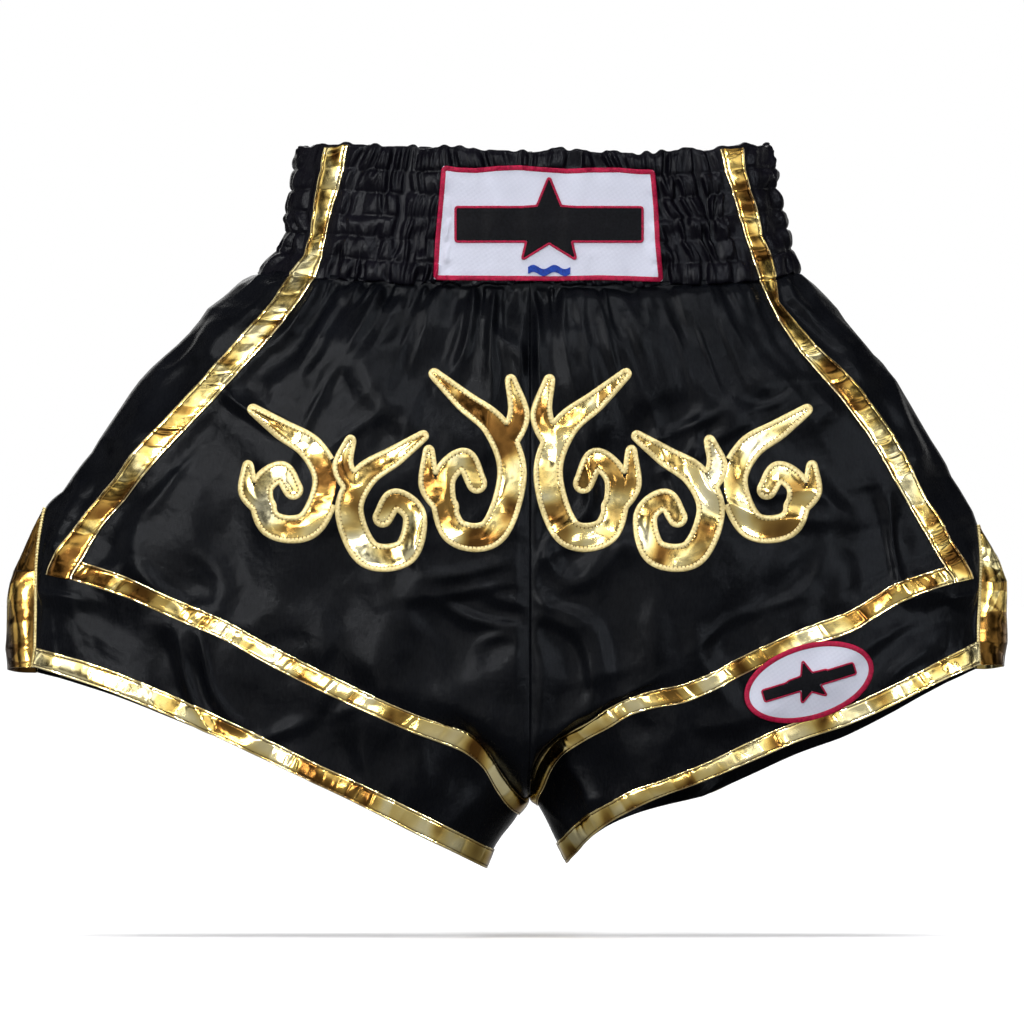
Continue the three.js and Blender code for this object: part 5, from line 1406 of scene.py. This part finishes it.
# it lies on the facing, so it follows the nearest gathers of it
lay = (FR_ + FN_ * inner_off[..., None]).reshape(-1, 3)
lay = lay[(lay[:, 1] > 0) & (np.abs(lay[:, 0] - CX) < 27) & (np.abs(lay[:, 2] - 400) < 19)]
near_y = np.array([lay[np.abs(lay[:, 0] - CX - q) < 4.0][:, 1].min() for q in g[0][0]])
near_y = np.convolve(np.r_[np.full(6, near_y[0]), near_y, np.full(6, near_y[-1])], np.ones(13) / 13, "valid")
Y = near_y[None] - 1.0 - 0.8 * smooth((-g[1] - 4) / 9) + 0.12 * noise2(g[0] / 6, g[1] / 6, 50)
P = np.dstack([g[0] + CX, Y, g[1] + 400])
N = np.zeros_like(P)
N[..., 1] = -1
V, F = shell(P, N, -0.25, 0.0)
put("size_label_cloth", V, F, [LABEL], body="seat", nodes=["size_label"], slot="label_cloth")

# ------------------------------------------------------------------ stage, light, camera
# low enough that a lifted leg, whose back hem swings down 38 mm, stays clear of it
bpy.ops.mesh.primitive_plane_add(size=60, location=(0, 0, -0.042))
floor = bpy.context.object
floor.name = "floor"
fm, fnt, fb = material("floor")
fb.inputs["Base Color"].default_value = (0.86, 0.86, 0.87, 1)
fb.inputs["Roughness"].default_value = 0.9
fb.inputs["Specular IOR Level"].default_value = 0.1
floor.data.materials.append(fm)
flp = fnt.nodes.new("ShaderNodeLightPath")
fmix = fnt.nodes.new("ShaderNodeMix")
fmix.data_type = "RGBA"
fmix.inputs[6].default_value, fmix.inputs[7].default_value = (0.2, 0.2, 0.2, 1), (0.88, 0.88, 0.885, 1)
fnt.links.new(flp.outputs["Is Camera Ray"], fmix.inputs[0])
fnt.links.new(fmix.outputs[2], fb.inputs["Base Color"])


def area(name, loc, target, size, power, color=(1, 1, 1), size_y=None):
    l = bpy.data.lights.new(name, "AREA")
    l.energy, l.size, l.color = power, size, color
    if size_y:
        l.shape, l.size_y = "RECTANGLE", size_y
    o = bpy.data.objects.new(name, l)
    bpy.context.scene.collection.objects.link(o)
    o.location = loc
    o.rotation_euler = (Vector(target) - Vector(loc)).to_track_quat("-Z", "Y").to_euler()
    return o


glints = [area("key", (-1.05, -1.65, 0.85), (0, 0, 0.22), 0.3, 44, (1, 0.98, 0.95), 0.3),
          area("fill", (1.3, -1.5, 0.5), (0, 0, 0.22), 0.2, 20, (0.94, 0.97, 1), 0.6),
          area("high", (0.25, -1.35, 1.4), (0, 0, 0.22), 0.5, 20, (1, 1, 1), 0.15),
          area("low", (-0.35, -1.6, 0.09), (0, 0, 0.25), 0.5, 5, (1, 0.97, 0.92), 0.1)]
for o in glints:
    o.visible_diffuse = False
wash = area("wash", (-1.0, -1.7, 1.0), (0, 0, 0.22), 0.5, 20, (1, 0.99, 0.97))
top = area("top", (0.15, -0.15, 1.9), (0, 0, 0.25), 1.1, 7)
rear = area("back", (0.0, 1.8, 1.2), (0, 0, 0.25), 1.2, 8)
front = area("front", (0.3, -2.4, 0.8), (0, 0, 0.22), 1.2, 16)
sun = bpy.data.lights.new("sun", "SUN")
sun.energy, sun.angle = 3.2, math.radians(50)
so = bpy.data.objects.new("sun", sun)
bpy.context.scene.collection.objects.link(so)
for o in (top, front, wash, so):
    o.visible_glossy = False

world = bpy.data.worlds.new("studio")
bpy.context.scene.world = world
world.use_nodes = True
wn = world.node_tree
wn.nodes.clear()


def wnode(kind, **kw):
    n = wn.nodes.new(kind)
    for k, v in kw.items():
        setattr(n, k, v)
    return n


wo = wnode("ShaderNodeOutputWorld")
soft, shiny, seen = wnode("ShaderNodeBackground"), wnode("ShaderNodeBackground"), wnode("ShaderNodeBackground")
lp, m1, m2 = wnode("ShaderNodeLightPath"), wnode("ShaderNodeMixShader"), wnode("ShaderNodeMixShader")
tc = wnode("ShaderNodeTexCoord")
nz = wnode("ShaderNodeTexNoise")
nz.inputs["Scale"].default_value, nz.inputs["Detail"].default_value, nz.inputs["Distortion"].default_value = 2.6, 1.2, 0.6
wn.links.new(tc.outputs["Generated"], nz.inputs["Vector"])
rp = wnode("ShaderNodeValToRGB")
e = rp.color_ramp.elements
e.new(0.5)
e.new(0.5)
for el, (p_, c_) in zip(e, [(0.42, (0.02, 0.019, 0.018)), (0.49, (0.14, 0.135, 0.13)), (0.55, (0.4, 0.39, 0.38)), (0.6, (1.7, 1.7, 1.66))]):
    el.position, el.color = p_, (*c_, 1)
wn.links.new(nz.outputs["Fac"], rp.inputs[0])
wn.links.new(rp.outputs[0], shiny.inputs[0])
soft.inputs[0].default_value = (0.36, 0.36, 0.37, 1)
seen.inputs[0].default_value = (1, 1, 1, 1)
wn.links.new(lp.outputs["Is Glossy Ray"], m1.inputs[0])
wn.links.new(soft.outputs[0], m1.inputs[1])
wn.links.new(shiny.outputs[0], m1.inputs[2])
wn.links.new(lp.outputs["Is Camera Ray"], m2.inputs[0])
wn.links.new(m1.outputs[0], m2.inputs[1])
wn.links.new(seen.outputs[0], m2.inputs[2])
wn.links.new(m2.outputs[0], wo.inputs[0])

cam = bpy.data.objects.new("camera", bpy.data.cameras.new("camera"))
bpy.context.scene.collection.objects.link(cam)
cam.data.lens, cam.data.sensor_width = 500, 36
cam.location = to_world(((512 - 508.5) * 0.62, -0.62 * 1024 / 36 * 500, (868 - 512) * 0.62))
cam.rotation_euler = (math.radians(90), 0, 0)
cam.data.clip_end = 100
bpy.context.scene.camera = cam
bpy.context.scene.view_settings.view_transform = "Standard"

bpy.context.view_layer.update()
